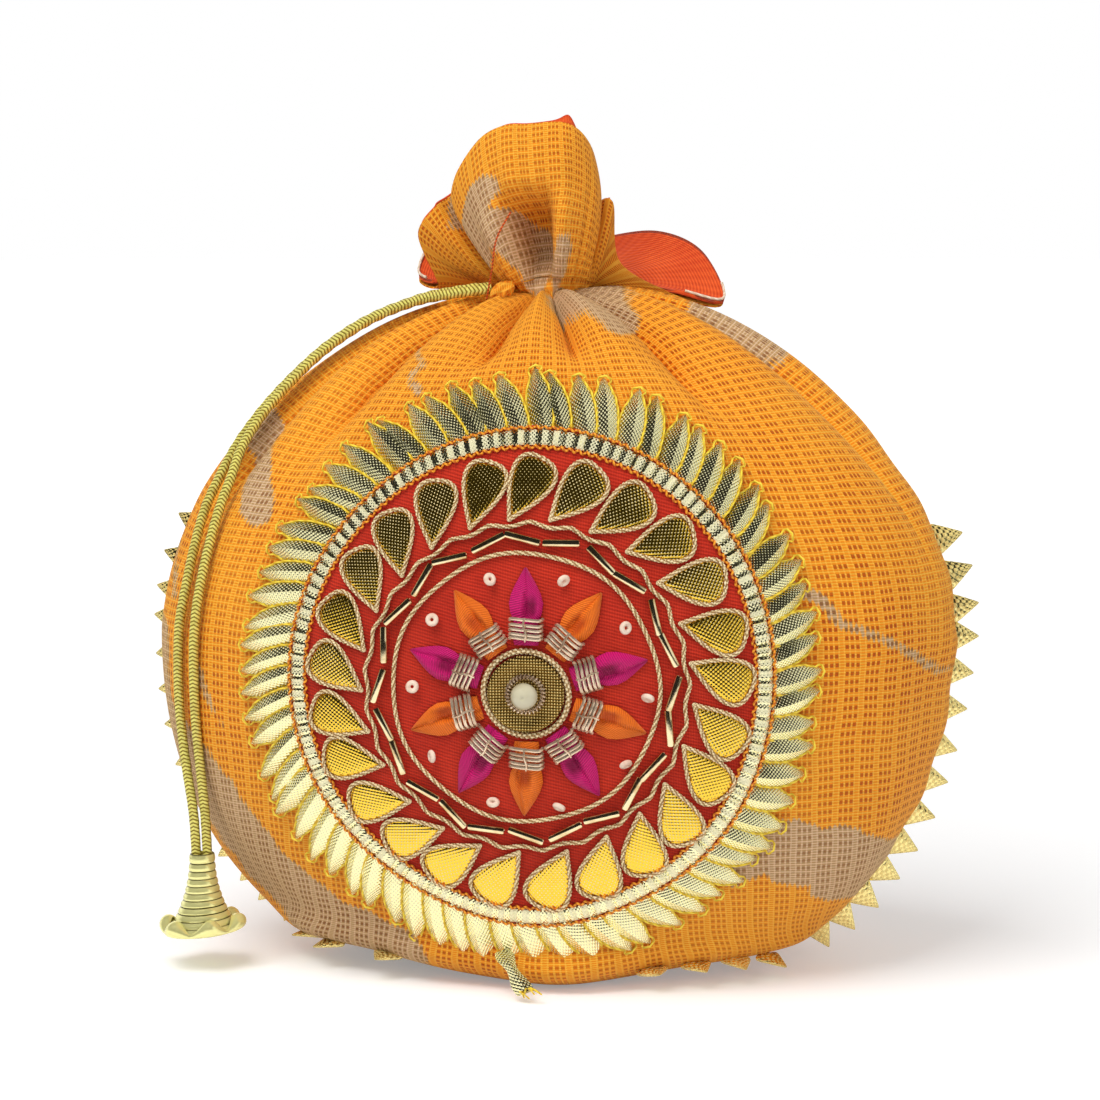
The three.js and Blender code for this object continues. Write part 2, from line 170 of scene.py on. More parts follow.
def open_curve(knots: Array, count: int) -> Array:
    """Smooth open curve through knots, read at even steps of its own length.

    Cubic pieces join the knots with slopes from their neighbours, and the fine points are then
    taken at equal arc lengths.

    Args:
        knots: (knots, 3) points.
        count: points wanted.

    Returns:
        (count, 3) points.
    """
    slope = np.gradient(knots, axis=0)
    at = np.linspace(0, len(knots) - 1, 40 * len(knots))
    i = np.minimum(at.astype(int), len(knots) - 2)
    t = (at - i)[:, None]
    fine = (2 * t**3 - 3 * t**2 + 1) * knots[i] + (t**3 - 2 * t**2 + t) * slope[i]
    fine = fine + (3 * t**2 - 2 * t**3) * knots[i + 1] + (t**3 - t**2) * slope[i + 1]
    run = lengths(fine)
    even = np.linspace(0, run[-1], count)
    return np.stack([np.interp(even, run, fine[:, axis]) for axis in range(3)], axis=-1)


def lengths(path: Array) -> Array:
    """Arc length from the first point to each point of a (points, 3) path."""
    return np.concatenate(([0.0], np.cumsum(np.linalg.norm(np.diff(path, axis=0), axis=1))))


def stroke_field(where: Array, strokes: Sequence[tuple[float, Sequence]]) -> Array:
    """Height inside the nearest brush stroke: its radius less the distance to its line.

    Args:
        where: (..., 2) points.
        strokes: radius and points of each stroke.

    Returns:
        The largest height over all strokes, below 0 outside them.
    """
    best = np.full(where.shape[:-1], -1e3)
    for radius, line in strokes:
        knots = np.array(line, float)
        for start, end in zip(knots[:-1], knots[1:]):
            run = end - start
            share = np.clip(((where - start) @ run) / (run @ run), 0, 1)
            gap = np.linalg.norm(where - start - share[..., None] * run, axis=-1)
            best = np.maximum(best, radius - gap)
    return best


def tube(
    path: Array, radius: Union[float, Array], sides: int, up: Array, closed: bool = False
) -> Array:
    """Round section carried along paths.

    At each point the section's own axes are the cross product of the tangent with up, and the
    tangent's cross product with that. Open ends close to a point.

    Args:
        path: (count, points, 3) lines.
        radius: one value, or one for each (count, points) or (count, points, side).
        sides: corners of the section.
        up: direction, or directions, that the path never runs along.
        closed: the path's end joins its start.

    Returns:
        (count, points, sides, 3) grid, with one row more at each open end.
    """
    if closed:
        tangent = np.roll(path, -1, axis=1) - np.roll(path, 1, axis=1)
    else:
        tangent = np.gradient(path, axis=1)
    side = unit(np.cross(tangent, np.broadcast_to(up, path.shape)))
    lift = unit(np.cross(side, tangent))
    angle = round_angles(sides)
    ring = np.cos(angle)[:, None] * side[:, :, None] + np.sin(angle)[:, None] * lift[:, :, None]
    size = np.asarray(radius, float)
    size = size[..., None] if size.ndim == 2 else size
    size = np.broadcast_to(size, ring.shape[:-1])
    skin = path[:, :, None] + size[..., None] * ring
    if closed:
        return skin
    first = np.broadcast_to(path[:, :1, None], skin[:, :1].shape)
    last = np.broadcast_to(path[:, -1:, None], skin[:, -1:].shape)
    return np.concatenate((first, skin, last), axis=1)


def tube_uv(rows: int, sides: int, run: float, closed: bool) -> Array:
    """Map of a tube: turns round the section across, millimetres along its run upwards."""
    return even_map(np.arange(sides + 1) / sides, np.linspace(0, run, rows + (1 if closed else 0)))


# Meshes


class Finish(ABC):
    """A finish that makes its own material."""

    @abstractmethod
    def material(self) -> bpy.types.Material:
        """Make the material."""


@dataclass(frozen=True)
class Sag:
    """Soft move of the bag about a place of its front, in millimetres."""

    x: float
    z: float
    reach: float
    right: float
    up: float


SAGS = (
    Sag(-62.0, 142.0, reach=27.0, right=2.7, up=-2.6),
    Sag(-24.0, 170.0, reach=20.0, right=0.0, up=-2.6),
    Sag(100.0, 108.0, reach=22.0, right=3.6, up=-0.6),
    Sag(-47.0, 0.0, reach=26.0, right=0.0, up=4.2),
    Sag(44.0, 0.0, reach=17.0, right=0.0, up=3.6),
    Sag(0.0, 0.0, reach=22.0, right=0.0, up=-0.85),
)


def settle(points: Array) -> Array:
    """Sag the even bag as it stands: each sag moves what is near it.

    The move falls off from the sag's middle as a bell of the distance over its reach.

    Args:
        points: (..., 3) points.

    Returns:
        The moved points.
    """
    moved = np.array(points, float)
    for sag in SAGS:
        away = np.hypot(points[..., 0] - sag.x, points[..., 2] - sag.z)
        share = bell(away, 0, math.sqrt(2) * sag.reach)
        moved[..., 0] += sag.right * share
        moved[..., 2] += sag.up * share
    return moved


@dataclass
class Pile:
    """Grids of quads gathered into one mesh."""

    name: str
    points: list[Array] = field(default_factory=list)
    faces: list[Array] = field(default_factory=list)
    maps: list[Array] = field(default_factory=list)
    tones: list[Array] = field(default_factory=list)
    count: int = 0

    def grid(
        self,
        points: Array,
        wrap: tuple[bool, bool] = (False, False),
        uv: Optional[Array] = None,
        tone: Union[float, Array] = 0.0,
    ) -> None:
        """Add grids of points as quads.

        Args:
            points: (count, rows, columns, 3), or one grid without the count.
            wrap: whether the last row, and the last column, joins the first.
            uv: (count, rows, columns, 2) map with a row or column more where it wraps, or the
                map of each corner, (count, rows, columns, 4, 2).
            tone: value kept on the points, one or one for each grid or point.
        """
        points = points if points.ndim == 4 else points[None]
        shape = points.shape[:3]
        index = self.count + np.arange(np.prod(shape)).reshape(shape)
        index = np.concatenate((index, index[:, :1]), axis=1) if wrap[0] else index
        index = np.concatenate((index, index[:, :, :1]), axis=2) if wrap[1] else index
        quads = corners(index)
        if uv is None:
            uv = np.zeros(quads.shape + (2,))
        elif uv.ndim == 4:
            uv = corners(np.broadcast_to(uv, index.shape + (2,)))
        tone = np.asarray(tone, float)
        tone = tone[:, None, None] if tone.ndim == 1 else tone
        self.points.append(points.reshape(-1, 3))
        self.faces.append(quads.reshape(-1, 4))
        self.maps.append(uv.reshape(-1, 2))
        self.tones.append(np.broadcast_to(tone, shape).reshape(-1))
        self.count += int(np.prod(shape))

    def build(
        self,
        material: bpy.types.Material,
        crease: float = 50.0,
        outward: bool = True,
        sag: bool = True,
    ) -> bpy.types.Object:
        """Put the grids into a mesh object, with the poles merged.

        Args:
            material: the mesh's material.
            crease: angle in degrees past which an edge stays sharp.
            outward: turn the faces of closed shapes outwards.
            sag: let the points settle with the bag.

        Returns:
            The object, linked to the scene.
        """
        mesh = bpy.data.meshes.new(self.name)
        points, faces = np.concatenate(self.points), np.concatenate(self.faces)
        points = (settle(points) if sag else points) * MM
        mesh.vertices.add(len(points))
        mesh.vertices.foreach_set("co", points.ravel())
        mesh.loops.add(faces.size)
        mesh.loops.foreach_set("vertex_index", faces.ravel())
        mesh.polygons.add(len(faces))
        mesh.polygons.foreach_set("loop_start", np.arange(0, faces.size, 4))
        mesh.uv_layers.new(name="weave").data.foreach_set("uv", np.concatenate(self.maps).ravel())
        tone = mesh.attributes.new("tone", "FLOAT", "POINT")
        tone.data.foreach_set("value", np.concatenate(self.tones))
        mesh.update(calc_edges=True)
        work = bmesh.new()
        work.from_mesh(mesh)
        bmesh.ops.remove_doubles(work, verts=work.verts, dist=MERGE_DISTANCE)
        bmesh.ops.dissolve_degenerate(work, edges=work.edges, dist=THIN_EDGE)
        if outward:
            bmesh.ops.recalc_face_normals(work, faces=work.faces)
        work.to_mesh(mesh)
        work.free()
        mesh.polygons.foreach_set("use_smooth", np.ones(len(mesh.polygons), bool))
        mesh.set_sharp_from_angle(angle=math.radians(crease))
        mesh.materials.append(material)
        made = bpy.data.objects.new(self.name, mesh)
        bpy.context.scene.collection.objects.link(made)
        return made

    def strand(
        self,
        path: Array,
        radius: Union[float, Array],
        sides: int,
        run: float,
        up: Array = UP,
        closed: bool = False,
        lay: Optional[Callable[[Array], Array]] = None,
    ) -> None:
        """Add tubes along paths, mapped by turns round them and millimetres along.

        Args:
            path: (count, points, 3) lines.
            radius: one value, or one for each point or corner.
            sides: corners of the section.
            run: length of a path on the map.
            up: direction that the paths never run along.
            closed: the path's end joins its start.
            lay: what lays the flat tubes on the pouch.
        """
        skin = tube(path, radius, sides, up, closed)
        uv = tube_uv(skin.shape[1], sides, run, closed)
        self.grid(lay(skin) if lay else skin, (closed, True), uv)

    def dressed(
        self, finish: Finish, slot: Slot, *nodes: str, crease: float = 50.0, sag: bool = True
    ) -> bpy.types.Object:
        """Build the mesh in a finish and dress it, in place of any CAD nodes named."""
        return dress(self.build(finish.material(), crease=crease, sag=sag), slot, *nodes)


def corners(grid: Array) -> Array:
    """The four corners of each cell of (count, rows, columns, ...) grids, on a new fourth axis."""
    near, far = grid[:, :-1], grid[:, 1:]
    return np.stack((near[:, :, :-1], near[:, :, 1:], far[:, :, 1:], far[:, :, :-1]), axis=3)


def dress(piece: bpy.types.Object, slot: Slot, *nodes: str) -> bpy.types.Object:
    """Let a piece ride on the bag and stand for CAD nodes, and report it.

    Args:
        piece: the new object.
        slot: its material slot; not used.
        nodes: CAD nodes that it stands for.

    Returns:
        The same object.
    """
    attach(piece, BODY)
    if nodes:
        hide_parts(*nodes)
    LOG.info("%s: %d faces, for %s", piece.name, len(piece.data.polygons), nodes or "trim")
    return piece


# Finishes


class Tree:
    """Shader nodes, with short ways to add what the finishes and the surround share."""

    def __init__(self, tree: bpy.types.NodeTree) -> None:
        """Take over a node tree, emptied."""
        self.tree = tree
        self.tree.nodes.clear()

    def add(self, kind: str, **settings: object) -> bpy.types.Node:
        """Add a node with its settings.

        Args:
            kind: the node's type.
            settings: its properties.

        Returns:
            The node.
        """
        node = self.tree.nodes.new(kind)
        for name, setting in settings.items():
            setattr(node, name, setting)
        return node

    def put(self, socket: bpy.types.NodeSocket, value: Value) -> None:
        """Link a socket to another, or give it a value.

        Args:
            socket: the input.
            value: an output to link, or a value.
        """
        if isinstance(value, bpy.types.NodeSocket):
            self.tree.links.new(value, socket)
        else:
            socket.default_value = value

    def math(self, operation: str, *values: Value) -> bpy.types.NodeSocket:
        """One step of arithmetic.

        Args:
            operation: the step's name.
            values: its inputs, in order.

        Returns:
            The result.
        """
        node = self.add("ShaderNodeMath", operation=operation)
        for socket, value in zip(node.inputs, values):
            self.put(socket, value)
        return node.outputs[0]

    def wave(self, value: Value, rate: float) -> bpy.types.NodeSocket:
        """Cosine wave between 0 and 1, with rate waves to a unit of value."""
        turned = self.math("COSINE", self.math("MULTIPLY", value, TURN * rate))
        return self.math("MULTIPLY_ADD", turned, 0.5, 0.5)

    def ease(self, value: Value, low: float, high: float) -> bpy.types.NodeSocket:
        """Smooth step from 0 at low to 1 at high.

        Args:
            value: what is eased.
            low: where it starts.
            high: where it ends.

        Returns:
            The share.
        """
        node = self.add("ShaderNodeMapRange", interpolation_type="SMOOTHSTEP")
        for name, given in (("Value", value), ("From Min", low), ("From Max", high)):
            self.put(node.inputs[name], given)
        return node.outputs["Result"]

    def span(self, value: Value, low: float, high: float) -> bpy.types.NodeSocket:
        """Straight line from low at 0 to high at 1."""
        return self.math("MULTIPLY_ADD", value, high - low, low)

    def mix(self, share: Value, first: Value, second: Value) -> bpy.types.NodeSocket:
        """Colour between two.

        Args:
            share: share of the second.
            first: a colour.
            second: a colour.

        Returns:
            The colour.
        """
        node = self.add("ShaderNodeMix", data_type="RGBA")
        for place, value in ((0, share), (6, first), (7, second)):
            self.put(node.inputs[place], value)
        return node.outputs[2]


class Graph(Tree):
    """Node tree of a material with one principled shader."""

    def __init__(self, name: str) -> None:
        """Start a material with a principled shader.

        Args:
            name: the material's name.
        """
        self.material = bpy.data.materials.new(name)
        self.material.use_nodes = True
        super().__init__(self.material.node_tree)
        self.shader = self.add("ShaderNodeBsdfPrincipled")
        out = self.add("ShaderNodeOutputMaterial")
        self.put(out.inputs["Surface"], self.shader.outputs["BSDF"])

    def set(self, **sockets: Value) -> None:
        """Set the shader's sockets, named with underscores for spaces."""
        for name, value in sockets.items():
            self.put(self.shader.inputs[name.replace("_", " ")], value)

    def noise(self, scale: float, detail: float = 2.0) -> bpy.types.NodeSocket:
        """Soft noise on object coordinates, scale lumps to a metre.

        Args:
            scale: lumps to a metre.
            detail: octaves.

        Returns:
            The noise, from 0 to 1.
        """
        place = self.add("ShaderNodeTexCoord").outputs["Object"]
        node = self.add("ShaderNodeTexNoise")
        self.put(node.inputs["Vector"], place)
        self.put(node.inputs["Scale"], scale)
        self.put(node.inputs["Detail"], detail)
        return node.outputs["Fac"]

    def uv(self) -> tuple[bpy.types.NodeSocket, bpy.types.NodeSocket]:
        """The piece's own map: across and along."""
        node = self.add("ShaderNodeSeparateXYZ")
        self.put(node.inputs[0], self.add("ShaderNodeUVMap", uv_map="weave").outputs[0])
        return node.outputs[0], node.outputs[1]

    def tone(self) -> bpy.types.NodeSocket:
        """The value kept on the piece's points."""
        return self.add("ShaderNodeAttribute", attribute_name="tone").outputs["Fac"]

    def bump(self, height: Value, depth: float, strength: float = 1.0) -> None:
        """Raise the shader's surface by a height pattern, depth in millimetres.

        Args:
            height: the pattern.
            depth: millimetres.
            strength: share of the full bump.
        """
        node = self.add("ShaderNodeBump")
        self.put(node.inputs["Height"], height)
        self.put(node.inputs["Distance"], depth * MM)
        self.put(node.inputs["Strength"], strength)
        self.set(Normal=node.outputs["Normal"])


@dataclass(frozen=True)
class CheckedCloth(Finish):
    """Sheer cloth woven in small checks, dyed, with bare waves where the tone is above 0."""

    name: str = "saffron_checked_cloth"
    thread: Colour = srgb(255, 190, 66)
    ground: Colour = srgb(244, 142, 20)
    window: Colour = srgb(188, 74, 4)
    bare_thread: Colour = srgb(230, 196, 160)
    bare_ground: Colour = srgb(190, 148, 96)
    bare_window: Colour = srgb(142, 88, 50)
    lanes: float = 1.55
    lines: float = 3.0

    def material(self) -> bpy.types.Material:
        """Rows of dark windows, three and a gap, between bright doubled threads.

        A row is one unit of the map along; across it there are lanes windows to a unit, every
        fourth one closed. Threads run lines to a row, and thinner ones between the windows.

        Returns:
            The material.
        """
        g = Graph(self.name)
        across, along = g.uv()
        across = g.math("ADD", across, g.span(g.noise(70.0), -0.4, 0.4))
        along = g.math("ADD", along, g.span(g.noise(55.0), -0.35, 0.35))
        lane, row = g.wave(across, self.lanes), g.wave(along, 1.0)
        shut = g.ease(g.wave(across, self.lanes / 4), 0.9, 0.8)
        window = g.math("MULTIPLY", g.ease(lane, 0.2, 0.52), g.ease(row, 0.42, 0.72))
        window = g.math("MULTIPLY", window, shut)
        weft = g.ease(g.wave(along, self.lines), 0.55, 0.2)
        warp = g.ease(lane, 0.32, 0.1)
        fine = g.math("ADD", weft, g.math("MULTIPLY", warp, 0.6))
        fade = g.ease(g.noise(28.0, 3.0), 0.3, 0.7)
        window = g.math("MULTIPLY", window, g.span(fade, 0.95, 0.5))
        line = g.math("MULTIPLY", fine, g.span(fade, 0.6, 0.95))
        line = g.math("MULTIPLY", line, g.span(window, 1.0, 0.2))
        dyed = g.mix(window, g.mix(line, self.ground, self.thread), self.window)
        bare = g.mix(window, g.mix(line, self.bare_ground, self.bare_thread), self.bare_window)
        edge = g.math("ADD", g.tone(), g.span(g.noise(210.0, 3.0), -1.7, 1.7))
        edge = g.math("ADD", edge, g.span(lane, -0.45, 0.45))
        g.set(Base_Color=g.mix(g.ease(edge, -0.3, 0.45), dyed, bare))
        g.set(Roughness=0.72, Sheen_Weight=0.3, Sheen_Roughness=0.35)
        g.set(Sheen_Tint=srgb(255, 214, 120), Specular_IOR_Level=0.3)
        g.bump(g.math("SUBTRACT", g.math("MULTIPLY", fine, 0.6), window), 0.2)
        return g.material


@dataclass(frozen=True)
class PlainWeave(Finish):
    """Plain woven cotton, ribbed by its thicker weft."""

    name: str
    light: Colour
    dark: Colour
    warp_pitch: float
    weft_pitch: float

    def material(self) -> bpy.types.Material:
        """Crossing threads at their pitch in millimetres, with slubs and a tone uneven from wear.

        Returns:
            The material.
        """
        g = Graph(self.name)
        across, along = g.uv()
        along = g.math("ADD", along, g.span(g.noise(60.0), -0.5, 0.5))
        weft = g.wave(along, 1 / self.weft_pitch)
        warp = g.wave(across, 1 / self.warp_pitch)
        cloth = g.math("ADD", g.math("MULTIPLY", weft, 0.7), g.math("MULTIPLY", warp, 0.3))
        slub = g.ease(g.noise(120.0, 4.0), 0.3, 0.75)
        share = g.math("MULTIPLY", g.span(cloth, 0.25, 1.0), g.span(slub, 0.65, 1.0))
        g.set(Base_Color=g.mix(share, self.dark, self.light))
        g.set(Roughness=0.85, Sheen_Weight=0.15, Specular_IOR_Level=0.2)
        g.bump(cloth, 0.16)
        return g.material


@dataclass(frozen=True)
class FoilWeave(Finish):
    """Mirror-like metal foil woven over and under a pale thread that shows as dots."""

    name: str
    foil: Colour
    thread: Colour
    pitch: tuple[float, float]
    cover: float
    roughness: float = 0.24

    def material(self) -> bpy.types.Material:
        """Dots on every second crossing of the pitch in millimetres, over cover of the face.

        Returns:
            The material.
        """
        g = Graph(self.name)
        across, along = g.uv()
        u = g.math("COSINE", g.math("MULTIPLY", across, TURN / self.pitch[0]))
        v = g.math("COSINE", g.math("MULTIPLY", along, TURN / self.pitch[1]))
        cell = g.span(g.math("MULTIPLY", u, v), 0.5, 1.0)
        wear = g.span(g.noise(300.0, 2.0), -0.15, 0.15)
        raised = g.math("ADD", g.math("ADD", cell, wear), g.math("MULTIPLY", g.tone(), 0.25))
        middle = 1.0 - self.cover
        dot = g.ease(raised, middle - 0.1, middle + 0.1)
        g.set(Base_Color=g.mix(dot, self.foil, self.thread))
        g.set(Metallic=g.span(dot, 1.0, 0.25))
        g.set(Roughness=g.span(g.noise(500.0), self.roughness - 0.06, self.roughness + 0.08))
        g.bump(cell, 0.12)
        return g.material


@dataclass(frozen=True)
class Thread(Finish):
    """Twisted thread: slanting filaments on a tube's map."""

    name: str
    light: Colour
    dark: Colour
    pitch: float
    slant: float
    metallic: float = 0.0
    roughness: float = 0.5
    depth: float = 0.08

    def material(self) -> bpy.types.Material:
        """Filaments wound slant times round the tube in each pitch, with a painted highlight on their
        crowns and painted shade in the grooves between them.

        Returns:
            The material.
        """
        g = Graph(self.name)
        across, along = g.uv()
        run = g.math("MULTIPLY", along, 1 / self.pitch)
        wound = g.math("MULTIPLY_ADD", across, self.slant, run)
        crown = g.wave(wound, 1.0)
        # Painted highlight on each filament's crown and painted shade between filaments, mottled with
        # noise.
        crown_light_and_mottle = g.math("ADD", crown, g.span(g.noise(260.0, 3.0), -0.35, 0.35))
        g.set(Base_Color=g.mix(g.ease(crown_light_and_mottle, 0.1, 0.85), self.dark, self.light))
        g.set(Metallic=self.metallic, Roughness=self.roughness)
        g.bump(crown, self.depth)
        return g.material


@dataclass(frozen=True)
class Braid(Finish):
    """Braided metal cord: two sets of slanting plies that cross as chevrons."""

    name: str
    light: Colour
    dark: Colour
    pitch: float

    def material(self) -> bpy.types.Material:
        """Chevrons: the run is bent to and fro round the tube, then striped at the pitch, with a painted
        highlight along each ply and painted shade in the grooves.

        Returns:
            The material.
        """
        g = Graph(self.name)
        across, along = g.uv()
        fold = g.math("PINGPONG", g.math("MULTIPLY", across, 4.0), 1.0)
        run = g.math("MULTIPLY", along, 1 / self.pitch)
        bent = g.math("MULTIPLY_ADD", fold, 0.9, run)
        ply = g.wave(bent, 1.0)
        groove = g.ease(fold, 0.0, 0.25)
        # Painted highlight along each ply and painted shade in the groove where the plies meet.
        share = g.math("MULTIPLY", g.ease(ply, 0.08, 0.6), g.span(groove, 0.55, 1.0))
        share = g.math("MULTIPLY", share, g.span(g.noise(420.0, 3.0), 0.45, 1.4))
        g.set(Base_Color=g.mix(share, self.dark, self.light))
        g.set(Metallic=0.2, Roughness=g.span(ply, 0.5, 0.3))
        g.bump(g.math("MULTIPLY", ply, groove), 0.15)
        return g.material


@dataclass(frozen=True)
class RibbedRibbon(Finish):
    """Fine ribbed ribbon, ribs across its run."""

    name: str
    light: Colour
    dark: Colour
    pitch: float = 0.62

    def material(self) -> bpy.types.Material:
        """Ribs at the pitch in millimetres, a little uneven, with painted shade between the ribs and
        painted shade where the tone marks a hollow.

        Returns:
            The material.
        """
        g = Graph(self.name)
        across, along = g.uv()
        run = g.math("ADD", along, g.span(g.noise(160.0), -0.25, 0.25))
        run = g.math("ADD", run, g.math("MULTIPLY", across, 0.35))
        rib = g.wave(run, 1 / self.pitch)
        # Painted shade between the ribs, mottled with noise.
        share = g.math("MULTIPLY", g.span(rib, 0.35, 1.0), g.span(g.noise(130.0, 3.0), 0.7, 1.15))
        # Painted shade in the hollow that the tone marks.
        share = g.math("MULTIPLY", share, g.span(g.tone(), 1.0, 0.1))
        g.set(Base_Color=g.mix(share, self.dark, self.light))
        g.set(Roughness=0.5, Sheen_Weight=0.1, Sheen_Roughness=0.35, Specular_IOR_Level=0.4)
        g.bump(rib, 0.12)
        return g.material


@dataclass(frozen=True)
class Polished(Finish):
    """Polished metal or glaze with light tarnish that drifts with noise."""

    name: str
    light: Colour
    dark: Colour
    metallic: float = 1.0
    roughness: float = 0.2
    scale: float = 240.0
    coat: float = 0.0

    def material(self) -> bpy.types.Material:
        """Tone and roughness drift with noise, scale lumps to a metre.

        Returns:
            The material.
        """
        g = Graph(self.name)
        drift = g.noise(self.scale, 4.0)
        g.set(Base_Color=g.mix(g.ease(drift, 0.25, 0.6), self.dark, self.light))
        g.set(Metallic=self.metallic)
        g.set(Roughness=g.span(drift, self.roughness + 0.1, self.roughness - 0.06))
        g.set(Coat_Weight=self.coat, Coat_Roughness=0.08)
        g.bump(g.noise(self.scale * 4, 2.0), 0.03)
        return g.material


@dataclass(frozen=True)
class RingedMetal(Finish):
    """Pale gilt metal, with painted shade in the grooves between its rings."""

    name: str
    light: Colour
    dark: Colour
    metallic: float
    roughness: float

    def material(self) -> bpy.types.Material:
        """The tone kept on the points, 0 in a groove, picks the painted groove shade or the light colour.

        Returns:
            The material.
        """
        g = Graph(self.name)
        drift = g.noise(240.0, 4.0)
        # Painted shade in the ring grooves: dark where the tone is low.
        groove_unshaded = g.ease(g.tone(), 0.3, 0.75)
        g.set(Base_Color=g.mix(groove_unshaded, self.dark, self.light), Metallic=self.metallic)
        g.set(Roughness=g.span(drift, self.roughness + 0.1, self.roughness - 0.06))
        g.bump(g.noise(960.0, 2.0), 0.03)
        return g.material


SAFFRON = CheckedCloth()
SAFFRON_KNOT = CheckedCloth("saffron_knot_cloth")
LINING = PlainWeave("red_lining", srgb(246, 108, 48), srgb(184, 38, 14), 1.7, 1.2)
DISC_CLOTH = PlainWeave("red_handloom", srgb(218, 58, 34), srgb(148, 26, 16), 0.6, 0.8)
LACE = FoilWeave("gold_lace", srgb(252, 246, 190), srgb(250, 242, 190), (0.8, 0.8), 0.24, 0.2)
RIB_BAND = FoilWeave("ribbed_gold_band", srgb(252, 246, 196), srgb(250, 244, 200), (0.9, 0.9), 0.42, 0.2)
TISSUE = FoilWeave("gold_tissue", srgb(252, 208, 72), srgb(248, 226, 170), (1.1, 1.3), 0.14, 0.22)
MESH = FoilWeave("gold_mesh", srgb(132, 98, 40), srgb(240, 208, 126), (0.95, 0.95), 0.3, 0.34)
CONE = FoilWeave("woven_cone", srgb(252, 234, 156), srgb(250, 226, 140), (1.6, 0.8), 0.5, 0.24)
# Thread and braid finishes: light is a painted highlight on filament or ply crowns, dark is painted shade
# between them.
YELLOW_THREAD = Thread("yellow_thread", srgb(252, 222, 70), srgb(224, 182, 40), 1.6, 1.0)
ORANGE_THREAD = Thread("orange_thread", srgb(252, 168, 44), srgb(200, 100, 16), 0.9, 1.0)
RED_THREAD = Thread("loose_thread", srgb(226, 96, 24), srgb(160, 52, 10), 0.8, 1.0)
CREAM_THREAD = Thread("cream_piping", srgb(240, 222, 200), srgb(222, 194, 166), 1.6, 1.0)
ZARI = Thread("zari_cord", srgb(252, 232, 186), srgb(170, 130, 78), 0.6, 1.0, 0.1, 0.4)
LUREX = Braid("lurex_braid", srgb(250, 240, 128), srgb(140, 118, 28), 0.95)
# Ribbon finishes: dark is painted shade between the ribs and in the petal hollows.
MAGENTA = RibbedRibbon("magenta_ribbon", srgb(224, 18, 120), srgb(138, 4, 66))
ORANGE = RibbedRibbon("orange_ribbon", srgb(252, 128, 26), srgb(200, 76, 8))
WIRE = Polished("rose_silver_wire", srgb(240, 216, 186), srgb(186, 150, 118), 0.7, 0.22)
BUGLE = Polished("gold_bugle", srgb(250, 230, 184), srgb(206, 172, 112), 1.0, 0.16)
SEED = Polished("peach_seed_bead", srgb(244, 222, 200), srgb(224, 184, 160), 0.0, 0.25, 400.0, 0.4)
PEARL = Polished("pearl", srgb(206, 198, 168), srgb(172, 160, 126), 0.0, 0.2, 160.0, 0.6)
# Its dark colour is painted shade in the ring grooves.
CAP = RingedMetal("pale_gold_cap", srgb(252, 247, 168), srgb(72, 60, 22), 0.55, 0.2)


# The pouch


